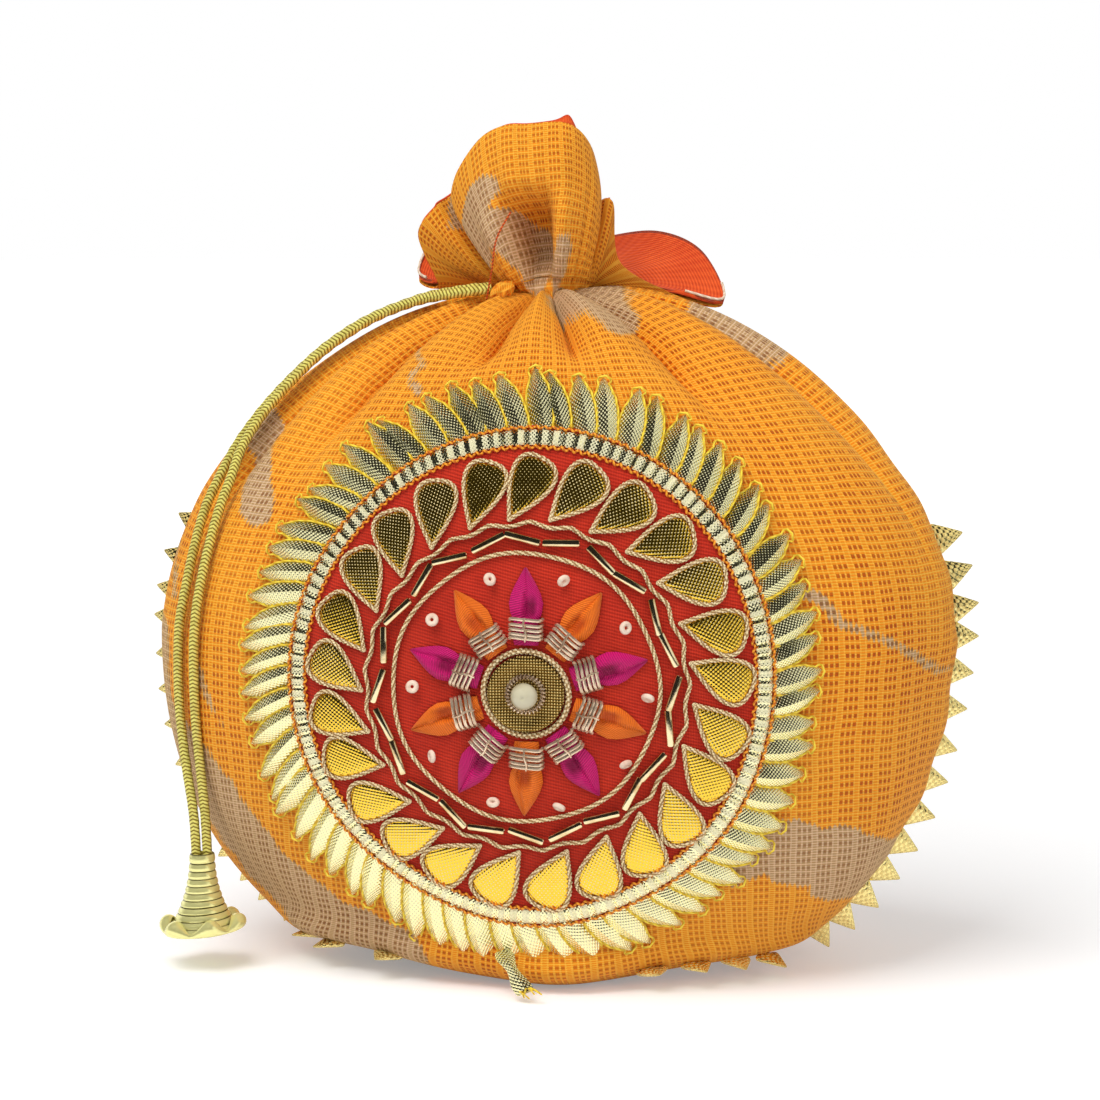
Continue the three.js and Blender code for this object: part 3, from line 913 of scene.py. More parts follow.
@dataclass(frozen=True)
class PouchForm:
    """Sizes of the stuffed pouch, and the formulas of its smooth skin."""

    neck_height: float = 168.3
    half_width: float = 98.3
    half_depth: float = 53.0
    base_half_width: float = 44.0
    base_half_depth: float = 27.0
    neck_radius: float = 9.5
    widest_share: float = 0.485
    width_fall: float = 1.65
    depth_fall: float = 2.0
    medallion_height: float = 79.9
    medallion_radius: float = 72.9
    shoulder_rise: float = 15.5
    wrap: float = 0.046

    @property
    def widest(self) -> float:
        """Height at which the pouch is widest."""
        return self.widest_share * self.neck_height

    def profile(self, height: Array, base: float, wide: float, fall: float) -> Array:
        """Half size at a height: a quarter ellipse up from the base, a fuller one to the neck.

        Args:
            height: heights to read.
            base: half size at the base.
            wide: half size at the widest.
            fall: power of the upper fall.

        Returns:
            Half sizes.
        """
        low = np.clip(height / self.widest, 0, 1)
        high = np.clip((height - self.widest) / (self.neck_height - self.widest), 0, 1)
        under = base + (wide - base) * np.sqrt(1 - (1 - low) ** 2)
        over = self.neck_radius + (wide - self.neck_radius) * np.sqrt(1 - high**fall)
        return np.where(height < self.widest, under, over)

    def width_at(self, height: Array) -> Array:
        """Half width at a height."""
        return self.profile(height, self.base_half_width, self.half_width, self.width_fall)

    def depth_at(self, height: Array) -> Array:
        """Half depth at a height."""
        return self.profile(height, self.base_half_depth, self.half_depth, self.depth_fall)

    def height_at(self, latitude: Array) -> Array:
        """Height of a latitude: -1 at the base, 0 at the widest, 1 at the neck.

        Args:
            latitude: shares of the way.

        Returns:
            Heights in millimetres.
        """
        rise = np.sin(np.abs(latitude) * math.pi / 2)
        over = self.widest + (self.neck_height - self.widest) * rise ** (2 / self.width_fall)
        return np.where(latitude < 0, self.widest * (1 - rise), over)

    def skin(self, angle: Array, latitude: Array) -> Array:
        """Point of the smooth skin: an ellipse of that height's half width and half depth.

        Args:
            angle: angles round the pouch.
            latitude: latitudes.

        Returns:
            (..., 3) points.
        """
        z = self.height_at(latitude)
        x, y = self.width_at(z) * np.sin(angle), -self.depth_at(z) * np.cos(angle)
        return np.stack(np.broadcast_arrays(x, y, z), axis=-1)

    def normal(self, angle: Array, latitude: Array) -> Array:
        """Outward normal of the smooth skin, from two small steps.

        Args:
            angle: angles round the pouch.
            latitude: latitudes.

        Returns:
            (..., 3) unit vectors.
        """
        latitude = np.clip(latitude, -0.995, 0.995)
        step = 1e-3
        round_it = self.skin(angle + step, latitude) - self.skin(angle - step, latitude)
        up = self.skin(angle, latitude + step) - self.skin(angle, latitude - step)
        return unit(np.cross(round_it, up))

    def front(self, x: Array, z: Array) -> Array:
        """Depth coordinate of the front skin at a place seen from the front."""
        z = np.maximum(z, 0.05)
        return -self.depth_at(z) * np.sqrt(np.maximum(1 - (x / self.width_at(z)) ** 2, 1e-4))

    def drape(self, flat: Array) -> Array:
        """Lay flat work on the front: (right, up, lift) from the medallion's centre.

        Right and up give the place on the skin, and lift goes out along its normal. Right
        shortens by the cube of its share of the radius, as flat work does round a curve.

        Args:
            flat: (..., 3) flat points.

        Returns:
            (..., 3) points on the pouch.
        """
        right, z, lift = flat[..., 0], flat[..., 1] + self.medallion_height, flat[..., 2]
        x = right * (1 - self.wrap * (right / self.medallion_radius) ** 2)
        step = 0.05
        slope_x = (self.front(x + step, z) - self.front(x - step, z)) / (2 * step)
        slope_z = (self.front(x, z + step) - self.front(x, z - step)) / (2 * step)
        out = unit(np.stack((slope_x, -np.ones_like(x), slope_z), axis=-1))
        return np.stack((x, self.front(x, z), z), axis=-1) + lift[..., None] * out


@dataclass
class Pouch:
    """Gathered cloth pouch with its standing frill and red lining."""

    form: PouchForm
    columns: int = 400
    seam_angle: float = math.radians(98.1)
    check: float = 2.15
    frill_checks: int = 112
    gathers: int = 12
    gather_depth: float = 6.0
    cloth: float = 0.45
    lining: float = 0.5
    lining_gap: float = 0.35
    frill_run: float = 44.0
    frill_check: float = 2.2
    frill_degree: float = 0.35
    lining_threads: int = 240
    valley_depth: float = 13.0
    ridge_height: float = 2.6
    pleat_height: float = 1.1
    roll_height: float = 5.0
    piped: tuple = ((111, 128), (-134, -116))
    back_from: float = 8.0
    bare_front: tuple = (
        (4.6, ((-74, 139), (-71, 128), (-69, 117))),
        (4.2, ((-97, 82), (-96, 66), (-94, 52))),
        (8.5, ((-95, 57), (-81, 42), (-67, 23), (-50, 9), (-32, 3))),
        (6.6, ((50, 33), (60, 37), (66, 36))),
        (7.8, ((64, 33), (74, 33), (82, 28))),
        (4.6, ((72, 25), (81, 22))),
        (4.0, ((5, 170), (13, 167), (21, 162))),
        (3.2, ((38, 165), (58, 154))),
        (0.9, ((54, 108), (60, 104), (64, 99), (69, 97), (74, 91), (82, 87), (90, 82), (97, 76))),
        (0.8, ((-85, 80), (-81, 70), (-76, 62))),
        (0.8, ((-94, 114), (-93, 102), (-92, 92))),
        (0.8, ((-31, 159), (-27, 153), (-30, 150), (-27, 146))),
    )
    bare_back: tuple = (
        (7.0, ((-80, 118), (-48, 96), (-20, 66), (8, 50))),
        (1.0, ((-60, 60), (-40, 48), (-30, 36), (-8, 22))),
        (8.0, ((84, 70), (56, 52), (34, 24), (16, 8))),
        (5.0, ((18, 150), (40, 132), (52, 112))),
        (0.9, ((70, 128), (84, 108), (92, 88))),
    )
    bare_frill: tuple = (
        (5.6, ((-18, 17), (-15, 23), (-12, 27))),
        (4.4, ((-13, 20), (-9, 17), (-6, 10), (-3, 3))),
        (3.6, ((-5, 3), (-1.5, 10), (2.0, 6))),
        (2.4, ((6.0, 2), (8.5, 10))),
        (5.0, ((52, 12), (56, 26))),
        (4.0, ((-24.5, 34), (-21.0, 43))),
    )
    lip: tuple = (
        (-166, (-9, 23, 177), (-6, 20, 170)),
        (-150, (-23, 19, 178.5), (-16, 17, 171)),
        (-136, (-32.5, 13, 178.5), (-23, 12, 171)),
        (-122, (-35, 7, 172), (-24, 5, 169)),
        (-108, (-29, 2, 171.5), (-20, 1, 172)),
        (-94, (-32.5, -4, 183), (-24, -4, 177)),
        (-83, (-28, -6, 189), (-22, -7, 179)),
        (-74, (-25.5, -3, 191), (-19, -4, 179)),
        (-64, (-22, -2, 193), (-15, -2, 180)),
        (-52, (-23, -8, 191), (-20, -12, 182)),
        (-38, (-21, -11, 197), (-17.5, -16, 188)),
        (-24, (-15, -13, 204.5), (-13.5, -19, 192)),
        (-12, (-9, -15, 207.5), (-9, -20, 194)),
        (0, (-3.5, -15, 207.8), (-3, -20, 195)),
        (22, (6, -15, 208), (8, -20, 195)),
        (42, (10.5, -11, 204), (14, -15, 192)),
        (60, (12, -5, 197), (15.5, -9, 187)),
        (75, (10.5, 1, 188), (13, -4, 181)),
        (88, (15.5, -2, 189), (15, -6, 182)),
        (99, (17, 2, 174), (14, -1, 173)),
        (110, (31, 3, 165.8), (22, 2, 168.5)),
        (122, (42, 7, 163.5), (27, 5, 168)),
        (137, (36.5, 13, 175), (25, 12, 171)),
        (152, (25, 18, 180), (17, 17, 172)),
        (168, (9, 23, 178.5), (6, 20, 171)),
    )

    @property
    def angles(self) -> Array:
        """Angles of the columns, from the back round by the left, front and right."""
        return -math.pi + TURN * np.arange(self.columns + 1) / self.columns

    def folds(self, angle: Array, latitude: Array) -> Array:
        """How far the cloth stands off its smooth skin.

        Round folds with sharp valleys, the root of a half cosine, fan out from the neck and die
        under the medallion; finer pleats join them near the neck. Slow waves slacken the rest,
        and the side seams pull in.

        Args:
            angle: angles round the pouch.
            latitude: latitudes.

        Returns:
            Millimetres along the normal.
        """
        form = self.form
        place = form.skin(angle, latitude)
        x, y, z = place[..., 0], place[..., 1], place[..., 2]
        gap = np.hypot(x, z - form.medallion_height) - form.medallion_radius
        clear = np.where(y < 0, smoothstep(gap, -1.5, 0.5 * form.shoulder_rise), 1.0)
        slack = np.where(y < 0, smoothstep(gap, 1, 26), 1.0)
        phase = self.gathers * angle + 0.9 * np.sin(2 * angle + 0.6) + 0.6 * np.sin(5 * angle - 1.1)
        ridge = 1.75 * np.abs(np.cos(phase / 2)) ** 0.6 - 1.6
        rise = smoothstep(latitude, 0.1, 0.7) * (1 - 0.75 * smoothstep(latitude, 0.9, 1))
        rise = rise * (0.72 + 0.28 * np.cos(angle + 0.6))
        fine = np.cos(31 * angle + 1.5 * np.sin(3 * angle)) * smoothstep(latitude, 0.6, 0.95)
        fine = 0.45 * fine * (1 - smoothstep(latitude, 0.95, 1))
        high = clear * (self.gather_depth * rise * ridge + fine)
        wave = np.sin(3 * angle + 5 * latitude + 0.7) * np.cos(5 * angle - 4 * latitude)
        wave = wave + 0.5 * np.sin(9 * angle + 7 * latitude)
        free = smoothstep(latitude, -1, -0.8) * (1 - smoothstep(latitude, 0.5, 0.9))
        wide = 1.1 * slack * wave * free
        off_seam = (np.abs(angle) - self.seam_angle) * form.half_depth
        sewn = smoothstep(latitude, -1, -0.85) * (1 - smoothstep(latitude, 0.3, 0.6))
        pucker = 0.5 * np.cos(40 * latitude) * bell(off_seam, 0, 9)
        seam = sewn * (pucker - 1.6 * bell(off_seam, 0, 2.4))
        return high + wide + seam

    def roll(self, angle: Array, latitude: Array) -> Array:
        """Level bulge of the slack cloth near the floor, largest at the front.

        Args:
            angle: angles round the pouch.
            latitude: latitudes.

        Returns:
            Millimetres outwards.
        """
        z = self.form.height_at(latitude)
        front = smoothstep(np.cos(angle), -0.2, 0.8)
        lumps = 1 + 0.3 * np.sin(5 * angle + 1) + 0.2 * np.sin(11 * angle)
        return self.roll_height * bell(z, 4.5, 5.0) * front * lumps

    def body(self, latitudes: Array) -> Array:
        """Rows of the gathered pouch: the smooth skin moved out by folds and roll.

        Args:
            latitudes: latitudes of the rows.

        Returns:
            (rows, columns, 3) points.
        """
        angle, latitude = np.meshgrid(self.angles[:-1], latitudes)
        out = self.form.normal(angle, latitude)
        skin = self.form.skin(angle, latitude) + self.folds(angle, latitude)[..., None] * out
        level = unit(out * np.array([1.0, 1.0, 0.0]))
        skin = skin + self.roll(angle, latitude)[..., None] * level
        skin[..., 2] = np.maximum(skin[..., 2], 0.0)
        return skin

    def frill(self, along: Array, inset: float = 0.0) -> Array:
        """Rows of the frill, each column a parabola from the neck to the lip.

        Its middle control point comes from the belly curve. A valley is pressed into the front
        lobe, pleats run up from the neck, and inset moves the rows in along the normal.

        Args:
            along: shares from neck to lip of the rows.
            inset: millimetres inwards.

        Returns:
            (rows, columns, 3) points.
        """
        angle = self.angles[:-1]
        stations = np.radians([row[0] for row in self.lip])
        edge = closed_curve(stations, np.array([row[1] for row in self.lip], float), angle)
        belly = closed_curve(stations, np.array([row[2] for row in self.lip], float), angle)
        round_it = np.stack((np.sin(angle), -np.cos(angle), np.zeros_like(angle)), axis=-1)
        neck = self.form.neck_radius * round_it + np.array([0, 0, self.form.neck_height])
        s = along[:, None, None]
        rows = (1 - s) ** 2 * neck + 2 * s * (1 - s) * belly + s**2 * edge
        degrees = np.degrees(angle)
        press = smoothstep(along, 0, 0.18) * (1 - smoothstep(along, 0.34, 0.6))
        hollow = 1 - smoothstep(np.abs(degrees + 4), 5, 22)
        valley = self.valley_depth * press[:, None] * hollow
        ridges = self.ridge_height * press[:, None] * (bell(degrees, -32, 9) + bell(degrees, 26, 8))
        rows = rows + (valley - ridges)[..., None] * np.array([0.1, 1.0, 0.0])
        phase = self.gathers * angle + 0.9 * np.sin(2 * angle + 0.6)
        pleat = np.abs(np.cos(phase / 2)) ** 0.7 - 0.6 + 0.35 * np.cos(31 * angle)
        rows = rows + (self.pleat_height * (1 - s[..., 0]) ** 2 * pleat)[..., None] * round_it
        ripple = 0.5 * np.sin(17 * angle + 3 * np.sin(4 * angle)) * np.sin(math.pi * s[..., 0]) ** 2
        rows = rows + ripple[..., None] * round_it
        if not inset:
            return rows
        across = np.roll(rows, -1, axis=1) - np.roll(rows, 1, axis=1)
        return rows - inset * unit(np.cross(across, np.gradient(rows, axis=0)))

    def weave_map(self, latitudes: Array, body: Array) -> Array:
        """Map of the pouch's corners in checks.

        Below the widest the threads hang straight, so across is the arc from the panel's middle
        at that height; above it every thread runs on to the neck. Along is the length of the
        column. The front and back panels are measured from their own middles.

        Args:
            latitudes: latitudes of the rows.
            body: (rows, columns, 3) points.

        Returns:
            The map of each corner.
        """
        form, angle = self.form, self.angles
        z = form.height_at(np.minimum(latitudes, 0.0))[:, None]
        middle = (angle[1:] + angle[:-1]) / 2
        speed = np.hypot(form.width_at(z) * np.cos(middle), form.depth_at(z) * np.sin(middle))
        arc = np.cumsum(speed, axis=1) * (TURN / self.columns)
        arc = np.concatenate((np.zeros_like(z), arc), axis=1)
        arc = arc - arc[:, self.columns // 2, None]
        column = np.cumsum(np.linalg.norm(np.diff(body, axis=0, prepend=body[:1]), axis=-1), axis=0)
        column = column.mean(axis=1, keepdims=True) * np.ones_like(arc)
        back = arc - np.where(angle < 0, arc[:, :1], arc[:, -1:])
        front = np.abs(middle) < self.seam_angle
        maps = [np.stack((part, column), axis=-1)[None] / self.check for part in (arc, back)]
        return np.where(front[None, None, :, None, None], corners(maps[0]), corners(maps[1]))

    def bare(self, place: Array) -> Array:
        """Height inside the bare waves of the dye at places on the pouch, rippled at the back.

        Args:
            place: (..., 3) points of the smooth skin.

        Returns:
            Millimetres, above 0 inside a wave.
        """
        flat = place[..., [0, 2]]
        front, back = stroke_field(flat, self.bare_front), stroke_field(flat, self.bare_back)
        x, z = flat[..., 0], flat[..., 1]
        back = back + 2.4 * np.sin(0.27 * x + 1.3 * np.sin(0.19 * z)) * np.cos(0.23 * z - 0.12 * x)
        return np.where(place[..., 1] < self.back_from, front, back)

    def build(self) -> list[bpy.types.Object]:
        """Make the cloth, its lining, the piping and the loose ends, and dress them.

        Returns:
            The dressed pieces.
        """
        latitudes = np.concatenate((np.linspace(-1, 0.1, 78), np.linspace(0.1, 1, 84)[1:]))
        body = self.body(latitudes)
        smooth = self.form.skin(*np.meshgrid(self.angles[:-1], latitudes))
        up = np.linspace(0, 1, 46)[1:]
        down = up[::-1][:43]
        inside = self.frill(down, self.cloth)
        pit = np.broadcast_to([0, 1, self.form.neck_height + 1.5], inside[:1].shape)
        frill = np.concatenate((body[-1:], self.frill(up), inside, pit))
        run = np.concatenate(([0.0], up, down, [0.0])) * self.frill_run
        across = np.linspace(0, self.frill_checks, self.columns + 1)
        flat = even_map(np.degrees(self.angles[:-1]) * self.frill_degree, run)
        pile = Pile("pouch_cloth")
        pile.grid(base_fan(body[0]), (False, True))
        pile.grid(body, (False, True), self.weave_map(latitudes, body), self.bare(smooth)[None])
        tone = stroke_field(flat, self.bare_frill)
        pile.grid(frill, (False, True), even_map(across, run / self.frill_check), tone)
        cloth = pile.dressed(SAFFRON, Slot.CLOTH, "pouch", crease=80)
        return [cloth, self.lining_sheet(), self.piping(), self.loose_thread(), self.cloth_knot()]

    def lining_sheet(self) -> bpy.types.Object:
        """Red lining inside the frill: two insets of the frill joined at a lip and a floor.

        Returns:
            The dressed piece.
        """
        rim = np.linspace(0.1, 1, 38)
        gap = self.cloth + self.lining_gap
        outer, inner = self.frill(rim, gap), self.frill(rim, gap + self.lining)
        lip = (outer[-1:] + inner[-1:]) / 2 + 0.7 * UP
        lip[..., 2] += 2.2 * bell(np.degrees(self.angles[:-1]), 27, 8)
        low = self.form.neck_height + 3.5
        floor = np.broadcast_to([0, 2, low], outer[:1].shape)
        under = np.broadcast_to([0, 2, low - self.lining], outer[:1].shape)
        rows = np.concatenate((under, outer, lip, inner[::-1], floor))
        run = np.concatenate(([0.0], rim, [1.02], 2 - rim, [2.0])) * self.frill_run
        across = np.linspace(0, self.lining_threads, self.columns + 1)
        pile = Pile("frill_lining")
        pile.grid(rows, (False, True), even_map(across, run))
        piece = pile.dressed(LINING, Slot.LINING, "lining", crease=80)
        return piece

    def piping(self) -> bpy.types.Object:
        """Cream piping along the lip of the back lobes: tubes on stretches of the lip.

        Returns:
            The dressed piece.
        """
        edge = self.frill(np.array([0.9, 1.0]), self.cloth + 0.6)[-1] + UP
        degrees = np.degrees(self.angles[:-1])
        pile = Pile("frill_piping")
        for low, high in self.piped:
            path = edge[(degrees > low) & (degrees < high)]
            pile.strand(path[None], 0.34, 8, lengths(path)[-1])
        return pile.dressed(CREAM_THREAD, Slot.LINING)

    def loose_thread(self) -> bpy.types.Object:
        """A pulled thread down the front lobe: a thin tube through listed points.

        Returns:
            The dressed piece.
        """
        knots = [(-6.5, -19.5, 188), (-10, -20, 182), (-11.5, -18.5, 175), (-13.6, -14.5, 168)]
        pile = Pile("loose_thread")
        pile.strand(open_curve(np.array(knots), 40)[None], 0.22, 6, 22, up=BACK)
        return pile.dressed(RED_THREAD, Slot.CLOTH)

    def cloth_knot(self) -> bpy.types.Object:
        """Small cloth knot where the cords come out: an ellipsoid with five slanting lumps.

        Returns:
            The dressed piece.
        """
        angle, rise = np.meshgrid(round_angles(40), np.linspace(-1, 1, 24))
        lump = np.sqrt(np.maximum(1 - rise**2, 0)) * (1 + 0.16 * np.cos(5 * angle + 4 * rise))
        x, y, z = 3.2 * rise, 2.5 * lump * np.cos(angle), 2.3 * lump * np.sin(angle)
        knot = np.stack((x - 10.2, y - 11.4, z + 0.3 * x + 169.4), axis=-1)
        pile = Pile("cloth_knot")
        pile.grid(knot, (False, True), even_map(np.linspace(0, 6, 41), np.linspace(0, 4, 24)), -5.0)
        return pile.dressed(SAFFRON_KNOT, Slot.CLOTH)


def base_fan(ring: Array) -> Array:
    """Rows that close the flat base: the lowest ring drawn in to its middle.

    Args:
        ring: (columns, 3) lowest ring.

    Returns:
        (rows, columns, 3) points.
    """
    middle = ring.mean(axis=0, keepdims=True) * np.array([1.0, 1.0, 0.0])
    share = np.array([0.0, 0.35, 0.7, 1.0])[:, None, None]
    return middle + share * (ring - middle)


# The medallion


@dataclass
class Medallion:
    """Round appliqué on the front: lace ring, band, tissue leaves, ribbon petals and pearl."""

    form: PouchForm
    disc_radius: float = 59.9
    disc_top: float = 1.3
    layer: float = 1.6
    gota_count: int = 70
    gota_inner: float = 60.0
    gota_tip: float = 72.9
    gota_lean: float = math.radians(24)
    band_inner: float = 54.8
    band_outer: float = 59.3
    leaf_count: int = 25
    leaf_middle: float = 46.2
    leaf_length: float = 16.4
    leaf_width: float = 10.9
    leaf_slant: float = math.radians(31)
    vine_radius: float = 38.4
    inner_radius: float = 31.7
    bugle_count: int = 24
    bugle_radius: float = 35.0
    petal_count: int = 10
    petal_root: float = 11.4
    petal_length: float = 18.0
    seed_ring: float = 27.5
    pearl_radius: float = 3.1
    disc_shift: tuple[float, float] = (2.2, -2.4)
    vine_shift: tuple[float, float] = (2.4, -3.6)
    heart_shift: tuple[float, float] = (3.0, -4.6)
    seed: int = 7

    def turned(self, x: Array, y: Array, place: Array) -> tuple[Array, Array]:
        """Turn flat work counter-clockwise by place, from its start at the top."""
        return x * np.cos(place) - y * np.sin(place), x * np.sin(place) + y * np.cos(place)

    def lay(self, x: Array, y: Array, lift: Array, shift: tuple[float, float] = (0.0, 0.0)) -> Array:
        """Drape flat work on the pouch, moved by shift."""
        x, y, lift = np.broadcast_arrays(x + shift[0], y + shift[1], lift)
        return self.form.drape(np.stack((x, y, lift), axis=-1))

    def lay_points(self, points: Array, shift: tuple[float, float] = (0.0, 0.0)) -> Array:
        """Drape flat points whose last axis is right, up and lift."""
        return self.lay(points[..., 0], points[..., 1], points[..., 2], shift)

    def places(self, count: int) -> Array:
        """Even angles counter-clockwise from the top, shaped to spread over grids."""
        return round_angles(count)[:, None, None]

    def disc(self) -> bpy.types.Object:
        """Red cloth disc: rings from the middle of its back round the edge to the front middle.

        Returns:
            The dressed piece.
        """
        radius = np.array([0, 30, 58.9, 59.8, 60, 59.7, 58.9, 56, 50, 42, 34, 26, 18, 10, 4, 0.0])
        lift = np.array([0.3, 0.3, 0.3, 0.45, 0.85, 1.2] + [self.disc_top] * 10)
        place = round_angles(220)
        swell = 0.16 * np.cos(41 * place) * np.clip((radius[:, None] - 54) / 8, 0, 1)
        flat = ring_path(radius[:, None], place, lift[:, None] + swell)
        weave = np.stack((flat[..., 0], flat[..., 1] + 0.25 * flat[..., 0]), axis=-1)
        pile = Pile("medallion_cloth")
        pile.grid(self.lay_points(flat, self.disc_shift), (False, True), wrapped(weave))
        piece = pile.dressed(DISC_CLOTH, Slot.LINING, "medallion_disc")
        return piece

    def gota_leaf(self, s: Array, t: Array, wobble: Array) -> tuple[Array, Array, Array]:
        """Flat place of a point of each lace leaf.

        Along s the leaf swells as a sine and ends in a blunt tip; across t it rises to a fold
        beside its middle line. Each leaf leans counter-clockwise.

        Args:
            s: share from root to tip.
            t: share from one edge, -1, to the other, 1.
            wobble: (count, 5) size, lean, tilt, root radius and tip radius of each leaf.

        Returns:
            Right, up and lift of (count, rows, columns) points.
        """
        size, lean, tilt, root, tip = (wobble[:, axis, None, None] for axis in range(5))
        length = (tip - root) / math.cos(self.gota_lean) * size
        half = np.interp(s, [0, 0.15, 0.42, 0.66, 0.88, 1], [2.3, 2.9, 3.2, 2.7, 1.3, 0.3])
        crown = np.where(t < 0.15, (t + 1) / 1.15, (1 - t) / 0.85)
        lift = 0.85 + (0.3 + 1.9 * crown) * np.sin(math.pi * (0.18 + 0.74 * s)) + tilt * t
        angle = self.gota_lean + lean
        x, y = self.turned(half * t, length * s, angle)
        return x, y + root, lift

    def gota(self) -> list[bpy.types.Object]:
        """Ring of folded lace leaves, and the yellow thread sewn round each.

        Returns:
            The leaves and their thread.
        """
        random = np.random.default_rng(self.seed)
        count = self.gota_count
        place = self.places(count) + random.uniform(-0.008, 0.008, (count, 1, 1))
        toward = self.disc_shift[1] * np.cos(place) - self.disc_shift[0] * np.sin(place)
        wobble = np.stack(
            (
                random.uniform(0.94, 1.03, count),
                random.uniform(-0.1, 0.1, count),
                random.uniform(-0.1, 0.8, count),
                self.gota_inner - 1.2 + toward[:, 0, 0],
                self.gota_tip - 0.5 - 2.4 * np.cos(place[:, 0, 0]),
            ),
            axis=-1,
        )
        s = np.array([0, 0, 0.12, 0.3, 0.5, 0.68, 0.82, 0.93, 1.0, 1.0])
        top = np.array([-1, -0.6, -0.2, 0.2, 0.45, 0.72, 1.0])
        t = np.concatenate((top, [0.6, 0.0, -0.6]))
        under = np.concatenate((np.zeros(7), np.ones(3)))
        gather = np.array([0] + [1] * 8 + [0.0])[:, None]
        s_grid, t_grid = s[:, None] + 0 * t, t * gather
        x, y, lift = self.gota_leaf(s_grid, t_grid, wobble)
        lift = np.where(under > 0, 0.8, lift)
        lift = np.where(gather > 0, lift, 0.9)
        weave = np.stack((2.9 * t_grid, 11.5 * s_grid), axis=-1)
        tone = random.uniform(-0.5, 0.5, count)
        pile = Pile("lace_leaves")
        pile.grid(self.lay(*self.turned(x, y, place), lift), (False, True), wrapped(weave), tone)
        leaves = pile.dressed(LACE, Slot.LACE, "gota_ring", crease=25)
        return [leaves, self.gota_thread(wobble, place)]

    def gota_thread(self, wobble: Array, place: Array) -> bpy.types.Object:
        """Yellow thread up one edge of each leaf, round a small loop at its tip and down the other.

        Args:
            wobble: (count, 5) values of the leaves.
            place: angles of the leaves.

        Returns:
            The dressed piece.
        """
        q = np.linspace(0, 1, 31)
        s = np.clip(1.12 - np.abs(2 * q - 1) * 1.12, 0, 0.93)
        t = np.sign(q - 0.5) * np.clip(np.abs(2 * q - 1) * 8, 0, 1)
        x, y, lift = self.gota_leaf(s[:, None], t[:, None], wobble)
        loop = np.clip(1 - np.abs(2 * q - 1) * 5.5, 0, 1)[:, None]
        x = x + 1.1 * np.sin(math.pi * loop) * np.sign(q - 0.5)[:, None]
        y, lift = y + 1.2 * loop, lift + 0.15 + 0.2 * loop
        x, y = self.turned(x, y, place)
        pile = Pile("lace_leaf_thread")
        pile.strand(np.stack((x, y, lift), axis=-1)[:, :, 0], 0.27, 6, 22, lay=self.lay_points)
        return pile.dressed(YELLOW_THREAD, Slot.LACE)

    def band(self) -> bpy.types.Object:
        """Ribbed gold band: an arched section round a ring, kinked into facets.

        Returns:
            The dressed piece.
        """
        columns, facets = 1488, 248
        place = round_angles(columns)
        facet = place * facets / TURN
        random = np.random.default_rng(self.seed + 1)
        kink = np.abs(facet % 1 - 0.5) * 2
        height = random.uniform(0.15, 0.75, facets)[facet.astype(int)]
        t = np.concatenate((np.linspace(-1, 1, 9), [0.5, -0.5]))[:, None]
        over = np.concatenate((np.ones(9), [0, 0]))[:, None]
        middle = (self.band_inner + self.band_outer) / 2
        half = (self.band_outer - self.band_inner) / 2 - 0.5
        arch = 0.25 + 0.75 * np.sqrt(np.maximum(1 - t**2, 0))
        lift = self.layer + over * arch * (0.45 + 0.7 * kink * height)
        bars = np.where(np.arange(facets) % 2, 1.5, -1.5) + random.uniform(-0.9, 0.9, facets)
        rows = self.lay_points(ring_path(middle + half * t, place, lift), self.disc_shift)
        tone = np.broadcast_to(bars[facet.astype(int)], rows.shape[:2])[None]
        run = np.linspace(0, TURN * middle, columns + 1)
        pile = Pile("ribbed_band")
        pile.grid(rows, (True, True), even_map(run, np.append(half * t[:, 0], -half)), tone)
        return pile.dressed(RIB_BAND, Slot.LACE, "gota_band", crease=35)

    def band_thread(self) -> bpy.types.Object:
        """Orange thread along both edges of the band: each a ring that waves in and out.

        Returns:
            The dressed piece.
        """
        place = round_angles(1600)
        on_disc = partial(self.lay_points, shift=self.disc_shift)
        pile = Pile("band_thread")
        for radius, swing, waves in ((self.band_inner, 0.3, 168), (self.band_outer, 0.2, 190)):
            lift = self.layer + 0.35 + 0.25 * np.cos(waves * place)
            path = ring_path(radius + swing * np.sin(waves * place), place, lift)
            pile.strand(path[None], 0.3, 6, TURN * radius, closed=True, lay=on_disc)
        return pile.dressed(ORANGE_THREAD, Slot.ORANGE)

    def twisted_ring(
        self, name: str, radius: Array, ply: float, shift: tuple[float, float]
    ) -> bpy.types.Object:
        """Zari cord of two plies wound round each other along a closed ring of given radii.

        Each ply's centre circles the ring's own line once in six plies' widths, half a turn
        from the other.

        Args:
            name: the CAD node that it stands for.
            radius: radii round the ring.
            ply: a ply's radius.
            shift: move right and up.

        Returns:
            The dressed piece.
        """
        place = round_angles(len(radius))
        run = TURN * radius.mean()
        on_disc = partial(self.lay_points, shift=shift)
        pile = Pile(name + "_zari")
        for start in (0.0, math.pi):
            phase = round(run / (6 * ply)) * place + start
            lift = self.layer + 0.5 + ply * np.sin(phase)
            path = ring_path(radius + ply * np.cos(phase), place, lift)
            pile.strand(path[None], 1.15 * ply, 6, run, closed=True, lay=on_disc)
        return pile.dressed(ZARI, Slot.ZARI, name)

